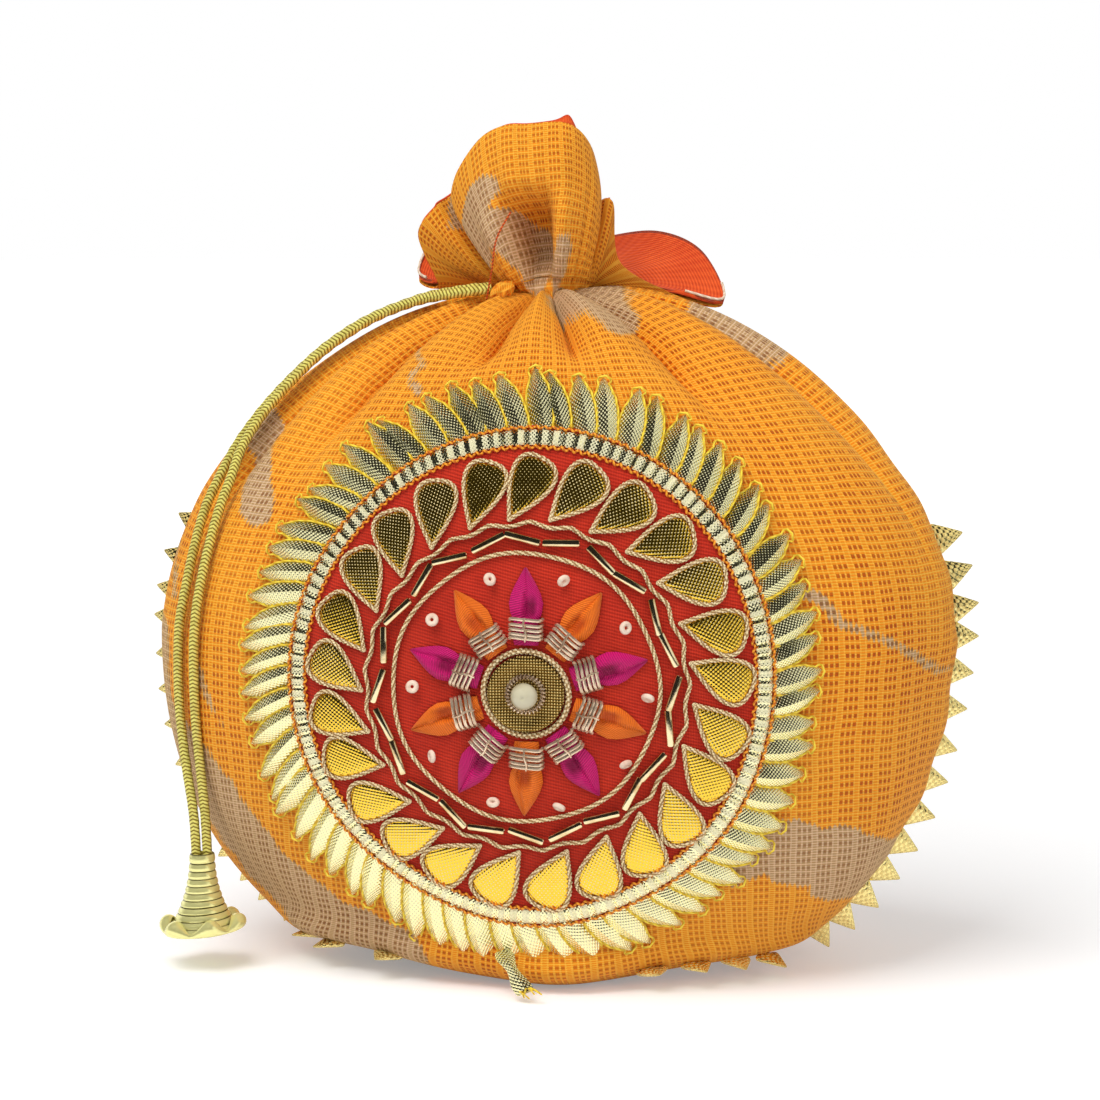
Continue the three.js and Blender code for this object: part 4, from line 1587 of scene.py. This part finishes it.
    def rings(self) -> list[bpy.types.Object]:
        """Zari cords: the scalloped vine, the inner ring and the ring round the centre.

        Returns:
            The three cords.
        """
        place = round_angles(1000)
        cusp = np.abs(np.sin(place * self.leaf_count / 2 + 0.3)) ** 1.5
        vine = self.vine_radius + 0.5 - 1.0 * cusp
        inner = self.inner_radius + 0.25 * np.sin(7 * place)
        centre = np.full(400, 10.0) + 0.2 * np.sin(5 * place[:400])
        return [
            self.twisted_ring("vine_cord", vine, 0.27, self.vine_shift),
            self.twisted_ring("inner_cord", inner, 0.27, self.vine_shift),
            self.twisted_ring("centre_cord", centre, 0.36, self.heart_shift),
        ]

    def teardrop(self, phase: Array, size: float) -> tuple[Array, Array]:
        """Outline of a leaf: pointed at its root, phase 0, and round at the far end, half a turn on.

        Args:
            phase: angles round the outline.
            size: share of the full size.

        Returns:
            Right and up of the points.
        """
        side = np.sign(np.sin(phase)) * np.abs(np.sin(phase)) ** 0.75
        fat = 1.36 * side * ((1 - np.cos(phase)) / 2) ** 0.75
        x = self.leaf_width / 2 * size * fat
        y = -self.leaf_length / 2 * np.cos(phase)
        return x, y - (1 - size) * (y - 0.12 * self.leaf_length)

    def leaves(self) -> list[bpy.types.Object]:
        """Padded tissue leaves, and the twisted cord couched round each.

        Returns:
            The leaves and their cords.
        """
        random = np.random.default_rng(self.seed + 2)
        count = self.leaf_count
        place = self.places(count) + random.uniform(-0.012, 0.012, (count, 1, 1))
        slant = -self.leaf_slant + random.uniform(-0.06, 0.06, (count, 1, 1))
        size = np.array([0.0, 0.9, 0.9, 0.86, 0.74, 0.55, 0.3, 0.0])
        lift = self.layer + np.array([-0.2, -0.2, 0.3, 0.46, 0.62, 0.7, 0.74, 0.75])
        rings = np.array([self.teardrop(round_angles(40), share) for share in size])
        x, y = rings[:, 0], rings[:, 1]
        weave = np.stack((x + 0.5 * y, y - 0.5 * x), axis=-1)
        x, y = self.turned(x, y, slant)
        x, y = self.turned(x, y + self.leaf_middle, place)
        tone = random.uniform(-0.35, 0.35, count)
        pile = Pile("tissue_leaves")
        pile.grid(self.lay(x, y, lift[:, None], self.vine_shift), (False, True), wrapped(weave), tone)
        names = [f"leaf_{number + 1}" for number in range(count)]
        tissue = pile.dressed(TISSUE, Slot.TISSUE, *names, crease=70)
        return [tissue, self.leaf_cord(place[:, :, 0], slant[:, :, 0])]

    def leaf_cord(self, place: Array, slant: Array) -> bpy.types.Object:
        """Two-ply cord round each leaf: plies circle the outline twenty-four times.

        Args:
            place: angles of the leaves.
            slant: their own turns.

        Returns:
            The dressed piece.
        """
        steps, ply = 190, 0.26
        phase = round_angles(steps)
        x, y = self.teardrop(phase, 0.97)
        out = unit(np.stack((np.gradient(y), -np.gradient(x)), axis=-1))
        on_disc = partial(self.lay_points, shift=self.vine_shift)
        pile = Pile("leaf_cords")
        for start in (0.0, math.pi):
            turn = 24 * phase + start
            px = x + ply * np.cos(turn) * out[:, 0]
            py = y + ply * np.cos(turn) * out[:, 1]
            lift = self.layer + 0.55 + ply * np.sin(turn)
            px, py = self.turned(px, py, slant)
            px, py = self.turned(px, py + self.leaf_middle, place)
            path = np.stack(np.broadcast_arrays(px, py, lift), axis=-1)
            pile.strand(path, 1.15 * ply, 5, 42, closed=True, lay=on_disc)
        return pile.dressed(ZARI, Slot.ZARI)

    def beads(self) -> list[bpy.types.Object]:
        """Both kinds of bead, whose scatter comes from one run of random draws."""
        random = np.random.default_rng(self.seed + 3)
        return [self.bugles(random), self.seeds(random)]

    def bugles(self, random: np.random.Generator) -> bpy.types.Object:
        """Zigzag of bugle beads: turned tubes that lean in and out by turns.

        Args:
            random: the beads' draws.

        Returns:
            The dressed piece.
        """
        count = self.bugle_count
        place = self.places(count) + random.uniform(-0.02, 0.02, (count, 1, 1))
        lean = np.where(np.arange(count) % 2, 1, -1) * 0.26 + random.uniform(-0.1, 0.1, count)
        around = round_angles(10)
        reach = np.array([-3.9, -4.25, -4.25, -3.95, 3.95, 4.25, 4.25, 3.9])[:, None]
        radius = np.array([0.4, 0.5, 0.78, 0.9, 0.9, 0.78, 0.5, 0.4])[:, None]
        x, y = reach + 0 * around, radius * np.cos(around)
        lift = self.layer + 1.2 + radius * np.sin(around)
        x, y = self.turned(x, y, lean[:, None, None])
        x, y = self.turned(x, y + self.bugle_radius, place)
        pile = Pile("bugle_beads")
        pile.grid(self.lay(x, y, lift, self.vine_shift), (True, True))
        return pile.dressed(BUGLE, Slot.ZARI, crease=40)

    def seeds(self, random: np.random.Generator) -> bpy.types.Object:
        """Ring-shaped seed beads between the petal tips, each tipped and turned at random.

        Args:
            random: the beads' draws.

        Returns:
            The dressed piece.
        """
        count = self.petal_count
        place = self.places(count) + TURN / (2 * count)
        tilt = random.uniform(0, 1.2, (count, 1, 1))
        around, section = np.meshgrid(round_angles(16), round_angles(10))
        ring = 0.98 + 0.62 * np.cos(section)
        a, b, c = ring * np.cos(around), ring * np.sin(around), 0.62 * np.sin(section)
        b, c = b * np.cos(tilt) - c * np.sin(tilt), b * np.sin(tilt) + c * np.cos(tilt)
        x, y = self.turned(a + 0 * b, b, random.uniform(0, 3, (count, 1, 1)))
        radius = self.seed_ring + random.uniform(-0.8, 1.6, (count, 1, 1))
        x, y = self.turned(x, y + radius, place + random.uniform(-0.05, 0.05, (count, 1, 1)))
        pile = Pile("seed_beads")
        pile.grid(self.lay(x, y, c + self.layer + 1.1, self.heart_shift), (True, True))
        return pile.dressed(SEED, Slot.PEARL)

    def petals(self) -> list[bpy.types.Object]:
        """Folded ribbon petals in two colours: narrow under the wire, full, then pointed.

        Across each petal one flap lies over the other: the height steps down at a slanting fold,
        with a shallow trough beside it, and rolls off at the edges. A hollow like a spoon's is
        pressed into the upper flap, and the section closes underneath.

        Returns:
            The petals of each colour, and their wire.
        """
        random = np.random.default_rng(self.seed + 4)
        s = np.array([0, 0, 0.06, 0.14, 0.24, 0.32, 0.42, 0.54, 0.66, 0.78, 0.88, 0.95, 1.0, 1.0])
        widths = [2.8, 2.8, 3.0, 2.7, 2.6, 3.0, 3.7, 4.0, 3.5, 2.5, 1.5, 0.8, 0.25, 0.25]
        heights = [0.8, 0.8, 1.3, 1.3, 1.3, 1.5, 1.9, 2.1, 1.9, 1.6, 1.2, 0.95, 0.6, 0.6]
        half, high = np.array(widths)[:, None], np.array(heights)[:, None]
        t = np.concatenate((np.linspace(-1, 1, 21), [0.6, 0.0, -0.6]))
        over = np.concatenate((np.ones(21), np.zeros(3)))
        gather = np.array([0] + [1] * 12 + [0.0])[:, None]
        way = np.where(np.arange(self.petal_count) % 3, 1, -1)[:, None, None]
        fold = random.uniform(-0.1, 0.35, (self.petal_count, 1, 1)) - 0.5 * (s - 0.5)[:, None]
        flap = smoothstep(way * t - fold, -0.1, 0.1)
        trough = bell(way * t, fold + 0.16, 0.1)
        top = 0.82 + 0.18 * np.cos(2.2 * (way * t + 0.3)) - 0.45 * flap - 0.25 * trough
        spoon = smoothstep(bell(s, 0.46, 0.15)[:, None] * bell(way * t, fold - 0.2, 0.5), 0.25, 0.7)
        crown = (top - 0.9 * spoon) * (1 - np.abs(t) ** 5)
        lift = self.layer + over * high * (0.2 + 0.8 * crown) * gather - 0.15 * (1 - over)
        twist = random.uniform(-0.6, 0.6, (self.petal_count, 1, 1)) * (s**2)[:, None]
        x = half * (t * gather) + 2.6 * twist + 0 * lift
        y = self.petal_root + self.petal_length * s[:, None] + 0 * lift
        x, y = self.turned(x, y, self.places(self.petal_count))
        points = self.lay(x, y, lift, self.heart_shift)
        weave = np.stack((half * t, 20 * s[:, None] + 2.4 * np.abs(t - 0.1)), axis=-1)
        made = []
        for start, finish, slot in ((0, MAGENTA, Slot.MAGENTA), (1, ORANGE, Slot.ORANGE)):
            pile = Pile(finish.name + "_petals")
            # Tone: the spoon hollow, where the ribbon finish paints shade.
            pile.grid(points[start::2], (False, True), wrapped(weave), (spoon * over)[start::2])
            names = [f"petal_{number + 1}" for number in range(start, self.petal_count, 2)]
            made.append(pile.dressed(finish, slot, *names, crease=60))
        return [*made, self.wraps()]

    def wraps(self) -> bpy.types.Object:
        """Wire bound round each petal: five flat loops side by side, and a stitch across them.

        Returns:
            The dressed piece.
        """
        random = np.random.default_rng(self.seed + 5)
        count, loops = self.petal_count, 5
        place = self.places(count)
        on_heart = partial(self.lay_points, shift=self.heart_shift)
        arc = np.linspace(-0.12, math.pi + 0.12, 25)
        across = -3.8 * np.sign(np.cos(arc)) * np.abs(np.cos(arc)) ** 0.7
        height = 2.5 * np.abs(np.sin(arc)) ** 0.5
        run = 1.6 + 1.08 * np.arange(loops)
        jitter = random.uniform(-0.16, 0.16, (count, loops, 2))
        x = (1 + 0.06 * jitter[..., :1]) * across
        y = self.petal_root + (run[:, None] + jitter[..., 1:]) + 0.25 * np.sin(arc * 2)
        lift = self.layer + height + 0 * x
        x, y = self.turned(x, y, place)
        path = np.stack(np.broadcast_arrays(x, y, lift), axis=-1).reshape(count * loops, len(arc), 3)
        out = np.concatenate((-np.sin(place), np.cos(place), 0 * place), axis=-1)
        out = np.repeat(out, loops, axis=0).reshape(count * loops, 1, 3)
        pile = Pile("wire_wraps")
        pile.strand(path, 0.42, 7, 12, up=out, lay=on_heart)
        s = np.linspace(0, 1, 9)
        y = self.petal_root + 1.1 + 5.3 * s
        lift = self.layer + 2.5 + 0.75 * np.sin(math.pi * s) ** 0.4
        x, y = self.turned(0.3 * np.sin(6 * s), y, place[:, :, 0])
        path = np.stack(np.broadcast_arrays(x, y, lift), axis=-1)
        pile.strand(path, 0.26, 6, 6, lay=on_heart)
        return pile.dressed(WIRE, Slot.ZARI)

    def centre_mesh(self) -> bpy.types.Object:
        """Domed mesh disc: rings from its back round the raised edge to the front middle.

        Returns:
            The dressed piece.
        """
        radius = np.array([0, 9, 9.1, 8.8, 8.2, 7, 5.5, 4, 2, 0.0])[:, None]
        lift = self.layer + np.array([0.1, 0.1, 0.9, 1.7, 1.8, 1.55, 1.2, 0.95, 0.8, 0.8])[:, None]
        flat = ring_path(radius, round_angles(72), lift)
        x, y = flat[..., 0], flat[..., 1]
        weave = np.stack((x + y, y - x), axis=-1) * 0.7
        pile = Pile("centre_mesh")
        pile.grid(self.lay_points(flat, self.heart_shift), (False, True), wrapped(weave))
        return pile.dressed(MESH, Slot.TISSUE, "centre_disc")

    def coil(self) -> bpy.types.Object:
        """Wire wound thirty times round a ring, on which the pearl sits.

        Returns:
            The dressed piece.
        """
        place = round_angles(520)
        turns = 30 * place
        lift = self.layer + 1.55 + 0.52 * np.sin(turns)
        path = ring_path(4.15 + 0.52 * np.cos(turns), place, lift)
        on_heart = partial(self.lay_points, shift=self.heart_shift)
        pile = Pile("pearl_coil_wire")
        pile.strand(path[None], 0.24, 6, 26, closed=True, lay=on_heart)
        return pile.dressed(WIRE, Slot.ZARI, "pearl_coil")

    def pearl(self) -> bpy.types.Object:
        """Pearl: a sphere a little out of round, dimpled where its hole comes out.

        Returns:
            The dressed piece.
        """
        angle, rise = np.meshgrid(round_angles(48), np.linspace(-1, 1, 33) * math.pi / 2)
        r = self.pearl_radius * np.cos(rise) * (1 + 0.012 * np.cos(3 * angle))
        dimple = 0.5 * bell(np.cos(rise), 0, 0.12) * np.sign(rise)
        lift = self.layer + 1.0 + 2.95 + 2.95 * np.sin(rise) - dimple * (rise > 0)
        pile = Pile("pearl_bead")
        ball = self.lay(r * np.cos(angle), r * np.sin(angle), lift, self.heart_shift)
        pile.grid(ball, (False, True))
        return pile.dressed(PEARL, Slot.PEARL, "pearl")

    def frayed_end(self) -> list[bpy.types.Object]:
        """Loose end of the lace ring below the medallion, a folded strip with frayed threads.

        Returns:
            The strip and its threads.
        """
        knots = [(-5, -42, 10), (-2.5, -46.5, 8), (0, -49, 5), (2.2, -50.5, 2.2)]
        spine = open_curve(np.array(knots), 24)
        t = np.array([-1, -0.5, 0.1, 0.6, 1, 0.4, -0.4])
        lift = np.array([0.1, 0.7, 1.0, 0.6, 0.1, -0.1, -0.1])
        half = (1.9 + 0.5 * np.sin(9 * np.linspace(0, 1, 24)))[:, None]
        side, out = np.array([0.92, 0.0, 0.38]), unit(np.array([0.15, -0.85, 0.5]))
        rows = spine[:, None] + (half * t)[..., None] * side + lift[None, :, None] * out
        rows = np.concatenate((spine[:1, None] + 0 * rows[:1], rows, spine[-1:, None] + 0 * rows[:1]))
        pile = Pile("loose_lace_end")
        pile.grid(rows, (False, True), even_map(np.linspace(0, 6, 8), np.linspace(0, 12, 26)), 0.2)
        strip = pile.dressed(LACE, Slot.LACE, crease=30)
        random = np.random.default_rng(self.seed + 6)
        start = spine[-3] + random.uniform(-1.6, 1.6, (6, 1)) * side
        tip = start + np.array([1.6, -1.5, -1.2]) + random.uniform(-1.4, 1.4, (6, 3)) * [1.6, 0.8, 0.2]
        tip[:, 2] = np.maximum(tip[:, 2], 0.6)
        share = np.linspace(0, 1, 10)[None, :, None]
        path = start[:, None] * (1 - share) + tip[:, None] * share
        path = path + np.array([0.0, -0.8, 0.5]) * np.sin(math.pi * share)
        pile = Pile("frayed_threads")
        pile.strand(path, 0.2, 5, 5, up=np.array([0.3, 0.4, 1.0]))
        return [strip, pile.dressed(YELLOW_THREAD, Slot.LACE)]

    def build(self) -> list[bpy.types.Object]:
        """Make every piece of the medallion, from the cloth up.

        Returns:
            The dressed pieces.
        """
        made = [self.disc(), *self.gota(), self.band(), self.band_thread(), *self.rings()]
        made += [*self.leaves(), *self.beads(), *self.petals()]
        return made + [self.centre_mesh(), self.coil(), self.pearl(), *self.frayed_end()]


# The seam trim


@dataclass
class SeamTrim:
    """Folded cones of woven gold ribbon, down both side seams and out under the base."""

    form: PouchForm
    count: int = 14
    reach: float = 7.2
    half_width: float = 4.1
    half_thickness: float = 1.4
    seam_angle: float = math.radians(98)
    top: float = 0.27
    bottom: float = -0.76
    floor_right: tuple = ((30, -32, -0.3), (40, -28, -0.45), (49, -22, -0.6), (56, -15, -0.8))
    floor_left: tuple = ((-35, -30, 0.4), (-50, -21, 0.7), (-57, -11, 1.0))
    seed: int = 23

    def cones(self, base: Array, along: Array, out: Array) -> Array:
        """Cones from a flat oval mouth to a blunt point, each pinched by its fold.

        Args:
            base: (count, 3) middle of each mouth.
            along: unit directions along the seam.
            out: unit directions of the points.

        Returns:
            (count, rows, columns, 3) grids.
        """
        s = np.array([0, 0, 0.08, 0.25, 0.45, 0.65, 0.82, 0.94, 1.0, 1.0])[:, None]
        size = np.array([0, 0.86, 1, 0.84, 0.64, 0.43, 0.25, 0.12, 0.04, 0])[:, None]
        angle = round_angles(16)
        oval = np.cos(angle) * size * self.half_width
        pinch = 1 - 0.45 * bell(np.cos(angle), 0.25, 0.2)
        thick = np.sin(angle) * size**0.7 * self.half_thickness * pinch
        across = np.cross(along, out)
        place = base[:, None, None] + (oval[..., None] * along[:, None, None])
        place = place + thick[..., None] * across[:, None, None]
        return place + (s * self.reach)[..., None] * out[:, None, None]

    def build(self) -> list[bpy.types.Object]:
        """Make the cones of each side, with those that lie on the floor.

        Returns:
            The cones of each side.
        """
        made = []
        random = np.random.default_rng(self.seed)
        share = (np.arange(self.count) + 0.5) / self.count
        latitude = self.top + (self.bottom - self.top) * share
        for name, side, low in (("right", 1, self.floor_right), ("left", -1, self.floor_left)):
            angle = np.full(self.count, side * self.seam_angle)
            out = self.form.normal(angle, latitude)
            along = unit(self.form.skin(angle, latitude - 1e-3) - self.form.skin(angle, latitude + 1e-3))
            base = self.form.skin(angle, latitude) - 0.4 * out
            lying = np.array(low, float)
            way = np.stack((np.sin(-lying[:, 2]), -np.cos(lying[:, 2])), axis=-1)
            floor_out = unit(np.concatenate((way, np.full((len(lying), 1), -0.06)), axis=-1))
            floor_base = np.concatenate((lying[:, :2], np.full((len(lying), 1), 2.4)), axis=-1)
            floor_along = unit(np.cross(UP, floor_out))
            stray = random.uniform(-0.12, 0.12, (self.count + len(lying), 3))
            out = unit(np.concatenate((out, floor_out)) + stray)
            along = np.concatenate((along, floor_along))
            along = unit(along - (along * out).sum(axis=-1, keepdims=True) * out)
            grid = self.cones(np.concatenate((base, floor_base)), along, out)
            grid[..., 2] = np.maximum(grid[..., 2], 0.4)
            uv = even_map(np.linspace(0, 14, 17), np.linspace(0, 7, 10))
            pile = Pile(f"seam_cones_{name}")
            pile.grid(grid, (False, True), uv, random.uniform(-0.4, 0.4, len(grid)))
            made.append(pile.dressed(CONE, Slot.TISSUE, f"seam_trim_{name}", crease=45))
        return made


# The drawstring


@dataclass
class Drawstring:
    """Two hanging ends of braided cord, and the trumpet cap that joins them."""

    diameter: float = 2.4
    bell_middle: tuple[float, float] = (-83.2, -25.0)
    bell_base: float = 7.2
    bell_height: float = 20.0
    bell_radius: float = 11.4
    bell_top: float = 3.2
    bell_wall: float = 0.8
    outer_route: tuple = (
        (-14.2, -7.2, 170.6), (-20.2, -8, 170.4), (-29.7, -5.1, 168.9), (-37.2, -4, 166.5),
        (-44.5, -4.4, 163.5), (-51.5, -5.8, 159.6), (-58.5, -6.6, 154.7), (-65.1, -8.8, 148.6),
        (-70.5, -10.4, 142.6), (-74.4, -12.4, 137.1), (-78.1, -14.4, 130.7), (-81.1, -17.4, 123.1),
        (-83.9, -19.9, 114.6), (-85.5, -23.1, 104.9), (-86.8, -25.2, 95.3), (-88.2, -25.6, 86.5),
        (-88.7, -25.3, 76.5), (-88.4, -25.2, 64), (-87.1, -25, 51), (-85.3, -25, 38), (-84.6, -25, 26.0),
    )
    inner_route: tuple = (
        (-13, -10.4, 170.2), (-20.6, -11, 169.8), (-30.4, -8, 168.3), (-37.2, -7, 166.2),
        (-44.1, -7.3, 163.3), (-51, -8.6, 159.3), (-57.8, -9.4, 154.5), (-64.1, -11.5, 148.6),
        (-69.4, -13.1, 142.5), (-73, -15, 137.1), (-76, -18, 130.6), (-77.3, -22, 123.7),
        (-79.3, -24.9, 115.2), (-80.9, -27.6, 105.5), (-82.3, -29.4, 95.8), (-83.2, -30.3, 87),
        (-83.6, -29.8, 77.2), (-83.7, -28.4, 64), (-83.1, -26.6, 51), (-82.3, -25.2, 38),
        (-81.8, -25, 26.0),
    )

    def cord(self, name: str, route: tuple, cap: bpy.types.Object, *nodes: str) -> bpy.types.Object:
        """Braided cord: a round section along its route, swollen where the plies cross.

        Args:
            name: the piece's name.
            route: points of the centre line.
            cap: the piece on its far end; not used.
            nodes: CAD nodes it stands for.

        Returns:
            The dressed cord.
        """
        count, sides = 420, 16
        path = settle(open_curve(np.array(route, float), count))
        run = lengths(path)
        angle = round_angles(sides)
        wound = run[:, None] * TURN / 7.6
        ply = np.abs(np.cos(2 * angle + wound)) + np.abs(np.cos(2 * angle - wound))
        radius = self.diameter / 2 * (0.86 + 0.1 * ply)
        pile = Pile(name)
        pile.strand(path[None], radius[None], sides, run[-1], up=BACK)
        piece = pile.dressed(LUREX, Slot.LUREX, *nodes, crease=90, sag=False)
        return piece

    def cap(self) -> bpy.types.Object:
        """Trumpet cap: a flaring profile turned round, beaded in rings, its rim rolled in six lobes.

        The profile goes from the sunk mouth over the lip and down the outside, round the inner
        face of the rolled rim, back round its outer face and up inside.

        Returns:
            The dressed piece.
        """
        share = np.linspace(0, 1, 121)[:, None]
        angle = round_angles(144)
        level = np.ones_like(angle)
        flare = self.bell_top + (self.bell_radius - 2.4 - self.bell_top) * share**2.2
        lobe = 0.5 + 1.7 * (0.5 + 0.5 * np.cos(6 * angle + 0.5)) ** 0.8
        ring = np.abs(np.sin(math.pi * share**1.15 * 11)) ** 0.4
        ring = ring + (1 - ring) * smoothstep(share, 0.93, 0.98)
        bead = 0.5 * (ring - 1) * (0.92 + 0.08 * np.cos(44 * angle))
        height = self.bell_height * (1 - share) + 0.35
        roll = np.linspace(0, 1.2 * math.pi, 14)[:, None]
        edge = flare[-1]
        rim_in = (edge + (lobe - 0.35) * np.sin(roll), lobe - (lobe - 0.35) * np.cos(roll))
        rim_out = (edge + lobe * np.sin(roll), lobe - lobe * np.cos(roll))
        roof = 0.86 * self.bell_height
        hollow_r = np.maximum(flare - self.bell_wall, 0.6) * level
        hollow_z = np.minimum(height - 0.35, roof) * level
        sunk = np.array([[0.0], [2.75], [2.75]]) * level
        mouth = (self.bell_height + np.array([[-2.2], [-2.2], [0.35]])) * level
        r = np.concatenate((sunk, flare + bead, rim_in[0], rim_out[0][::-1], hollow_r[::-1], sunk[:1]))
        inside = (rim_in[1], rim_out[1][::-1], hollow_z[::-1], 0 * sunk[:1] + roof)
        z = np.concatenate((mouth, height * level, *inside))
        # Tone: low in the ring grooves, where the cap's finish paints shade.
        tone = np.ones_like(r)
        tone[3 : 3 + len(share)] = ring
        points = np.stack((r * np.cos(angle), r * np.sin(angle), z), axis=-1)
        pile = Pile("bell_cap_metal")
        pile.grid(points + np.array([*self.bell_middle, self.bell_base]), (False, True), None, tone[None])
        return pile.dressed(CAP, Slot.CAP, "bell_cap", crease=60)

    def build(self) -> list[bpy.types.Object]:
        """Make the cap and the two cords that end in it.

        Returns:
            The cap and the cords.
        """
        cap = self.cap()
        outer = self.cord("drawstring_outer_braid", self.outer_route, cap, "drawstring_outer", "neck_loop")
        inner = self.cord("drawstring_inner_braid", self.inner_route, cap, "drawstring_inner")
        return [cap, outer, inner]


# The studio


@dataclass
class Studio:
    """Pale floor, white surround, soft lamps and the camera."""

    frame_width: float = 267.0
    distance: float = 900.0
    azimuth: float = math.radians(9)
    elevation: float = math.radians(7)
    target: tuple[float, float, float] = (3.2, -20.0, 105.0)
    sensor: float = 36.0
    ambient: float = 0.43

    def seen(self, nodes: Tree) -> bpy.types.NodeSocket:
        """1 for camera, mirror and see-through rays, 0 for the others.

        Args:
            nodes: the tree to add to.

        Returns:
            The socket.
        """
        rays = nodes.add("ShaderNodeLightPath").outputs
        mirrored = nodes.math("MAXIMUM", rays["Is Glossy Ray"], rays["Is Transmission Ray"])
        return nodes.math("MAXIMUM", rays["Is Camera Ray"], mirrored)

    def floor(self) -> None:
        """Round pale floor: rings of a disc, bright to the eye and still taking shadow.

        Mirrors see it pale near the bag only, as the edge of a table.
        """
        radius, angle = np.meshgrid([0, 200, 600, 1500, 4000.0], round_angles(64), indexing="ij")
        points = np.stack((radius * np.cos(angle), radius * np.sin(angle), 0 * radius - 0.05), axis=-1)
        pile = Pile("studio_floor")
        pile.grid(points, (False, True))
        g = Graph("studio_floor")
        away = g.add("ShaderNodeVectorMath", operation="LENGTH")
        g.put(away.inputs[0], g.add("ShaderNodeTexCoord").outputs["Object"])
        away = away.outputs["Value"]
        glow = g.span(g.ease(away, 0.15, 1.2), 0.27, 0.68)
        mirrored = g.add("ShaderNodeLightPath").outputs["Is Glossy Ray"]
        near = g.math("SUBTRACT", 1.0, g.math("MULTIPLY", mirrored, g.ease(away, 0.2, 0.42)))
        g.set(Base_Color=g.mix(near, srgb(20, 20, 20), srgb(236, 236, 236)))
        g.set(Roughness=0.9, Specular_IOR_Level=0.1, Emission_Color=WHITE)
        g.set(Emission_Strength=g.math("MULTIPLY", g.math("MULTIPLY", self.seen(g), glow), near))
        pile.build(g.material, outward=False, sag=False)

    def lamp(self, name: str, place: tuple, aim: tuple, size: float, power: float) -> None:
        """Add a square soft lamp that polished pieces don't mirror.

        Args:
            name: the lamp's name.
            place: where it stands, in metres.
            aim: what it faces.
            size: its side.
            power: watts.
        """
        data = bpy.data.lights.new(name, "AREA")
        data.shape, data.size, data.energy = "SQUARE", size, power
        lamp = bpy.data.objects.new(name, data)
        lamp.location = Vector(place)
        lamp.visible_glossy = False
        lamp.rotation_euler = (Vector(aim) - Vector(place)).to_track_quat("-Z", "Y").to_euler()
        bpy.context.scene.collection.objects.link(lamp)

    def surround(self) -> None:
        """White surround to the eye, and a room to mirrors.

        Mirrors see it white behind, dim in front, and with a window at the right.
        """
        world = bpy.data.worlds.new("studio")
        world.use_nodes = True
        g = Tree(world.node_tree)
        way = g.add("ShaderNodeSeparateXYZ")
        g.put(way.inputs[0], g.add("ShaderNodeTexCoord").outputs["Generated"])
        behind = g.math("MULTIPLY_ADD", way.outputs["Z"], -0.7, way.outputs["Y"])
        room = g.span(g.ease(behind, -0.2, 0.35), 0.02, 1.0)
        window = g.span(g.ease(way.outputs["X"], 0.62, 0.82), 0.0, 0.9)
        more = g.math("SUBTRACT", g.math("MAXIMUM", room, window), self.ambient)
        rays = g.add("ShaderNodeLightPath").outputs
        level = g.math("MULTIPLY_ADD", rays["Is Glossy Ray"], more, self.ambient)
        ground = g.add("ShaderNodeBackground")
        g.put(ground.inputs["Color"], WHITE)
        g.put(ground.inputs["Strength"], g.math("MAXIMUM", rays["Is Camera Ray"], level))
        g.put(g.add("ShaderNodeOutputWorld").inputs[0], ground.outputs[0])
        bpy.context.scene.world = world

    def camera(self) -> None:
        """Camera at the photograph's angle, its field as wide as the photograph's."""
        data = bpy.data.cameras.new("camera")
        data.sensor_width = self.sensor
        data.lens = self.sensor * self.distance / self.frame_width
        data.dof.use_dof = False
        eye = bpy.data.objects.new("camera", data)
        level = math.cos(self.elevation)
        x, y = math.sin(self.azimuth) * level, -math.cos(self.azimuth) * level
        way = Vector((x, y, math.sin(self.elevation)))
        eye.location = (Vector(self.target) + self.distance * way) * MM
        eye.rotation_euler = (-way).to_track_quat("-Z", "Y").to_euler()
        bpy.context.scene.collection.objects.link(eye)
        bpy.context.scene.camera = eye

    def build(self) -> None:
        """Set the floor, surround, lamps, camera and view."""
        self.floor()
        self.surround()
        self.lamp("key", (-0.35, -0.65, 1.25), (0, 0, 0.1), 0.9, 15.0)
        self.lamp("fill", (0.9, -0.7, 0.5), (0, 0, 0.08), 0.7, 2.6)
        self.camera()
        bpy.context.scene.view_settings.view_transform = "Standard"


def main() -> None:
    """Build the bag from the pouch outwards, then the studio."""
    logging.basicConfig(level=logging.INFO, format="%(name)s: %(message)s")
    form = PouchForm()
    for part in (Pouch(form), Medallion(form), SeamTrim(form), Drawstring()):
        pieces = part.build()
        LOG.info("%s: %d pieces", type(part).__name__, len(pieces))
    Studio().build()


if __name__ == "__main__":
    main()
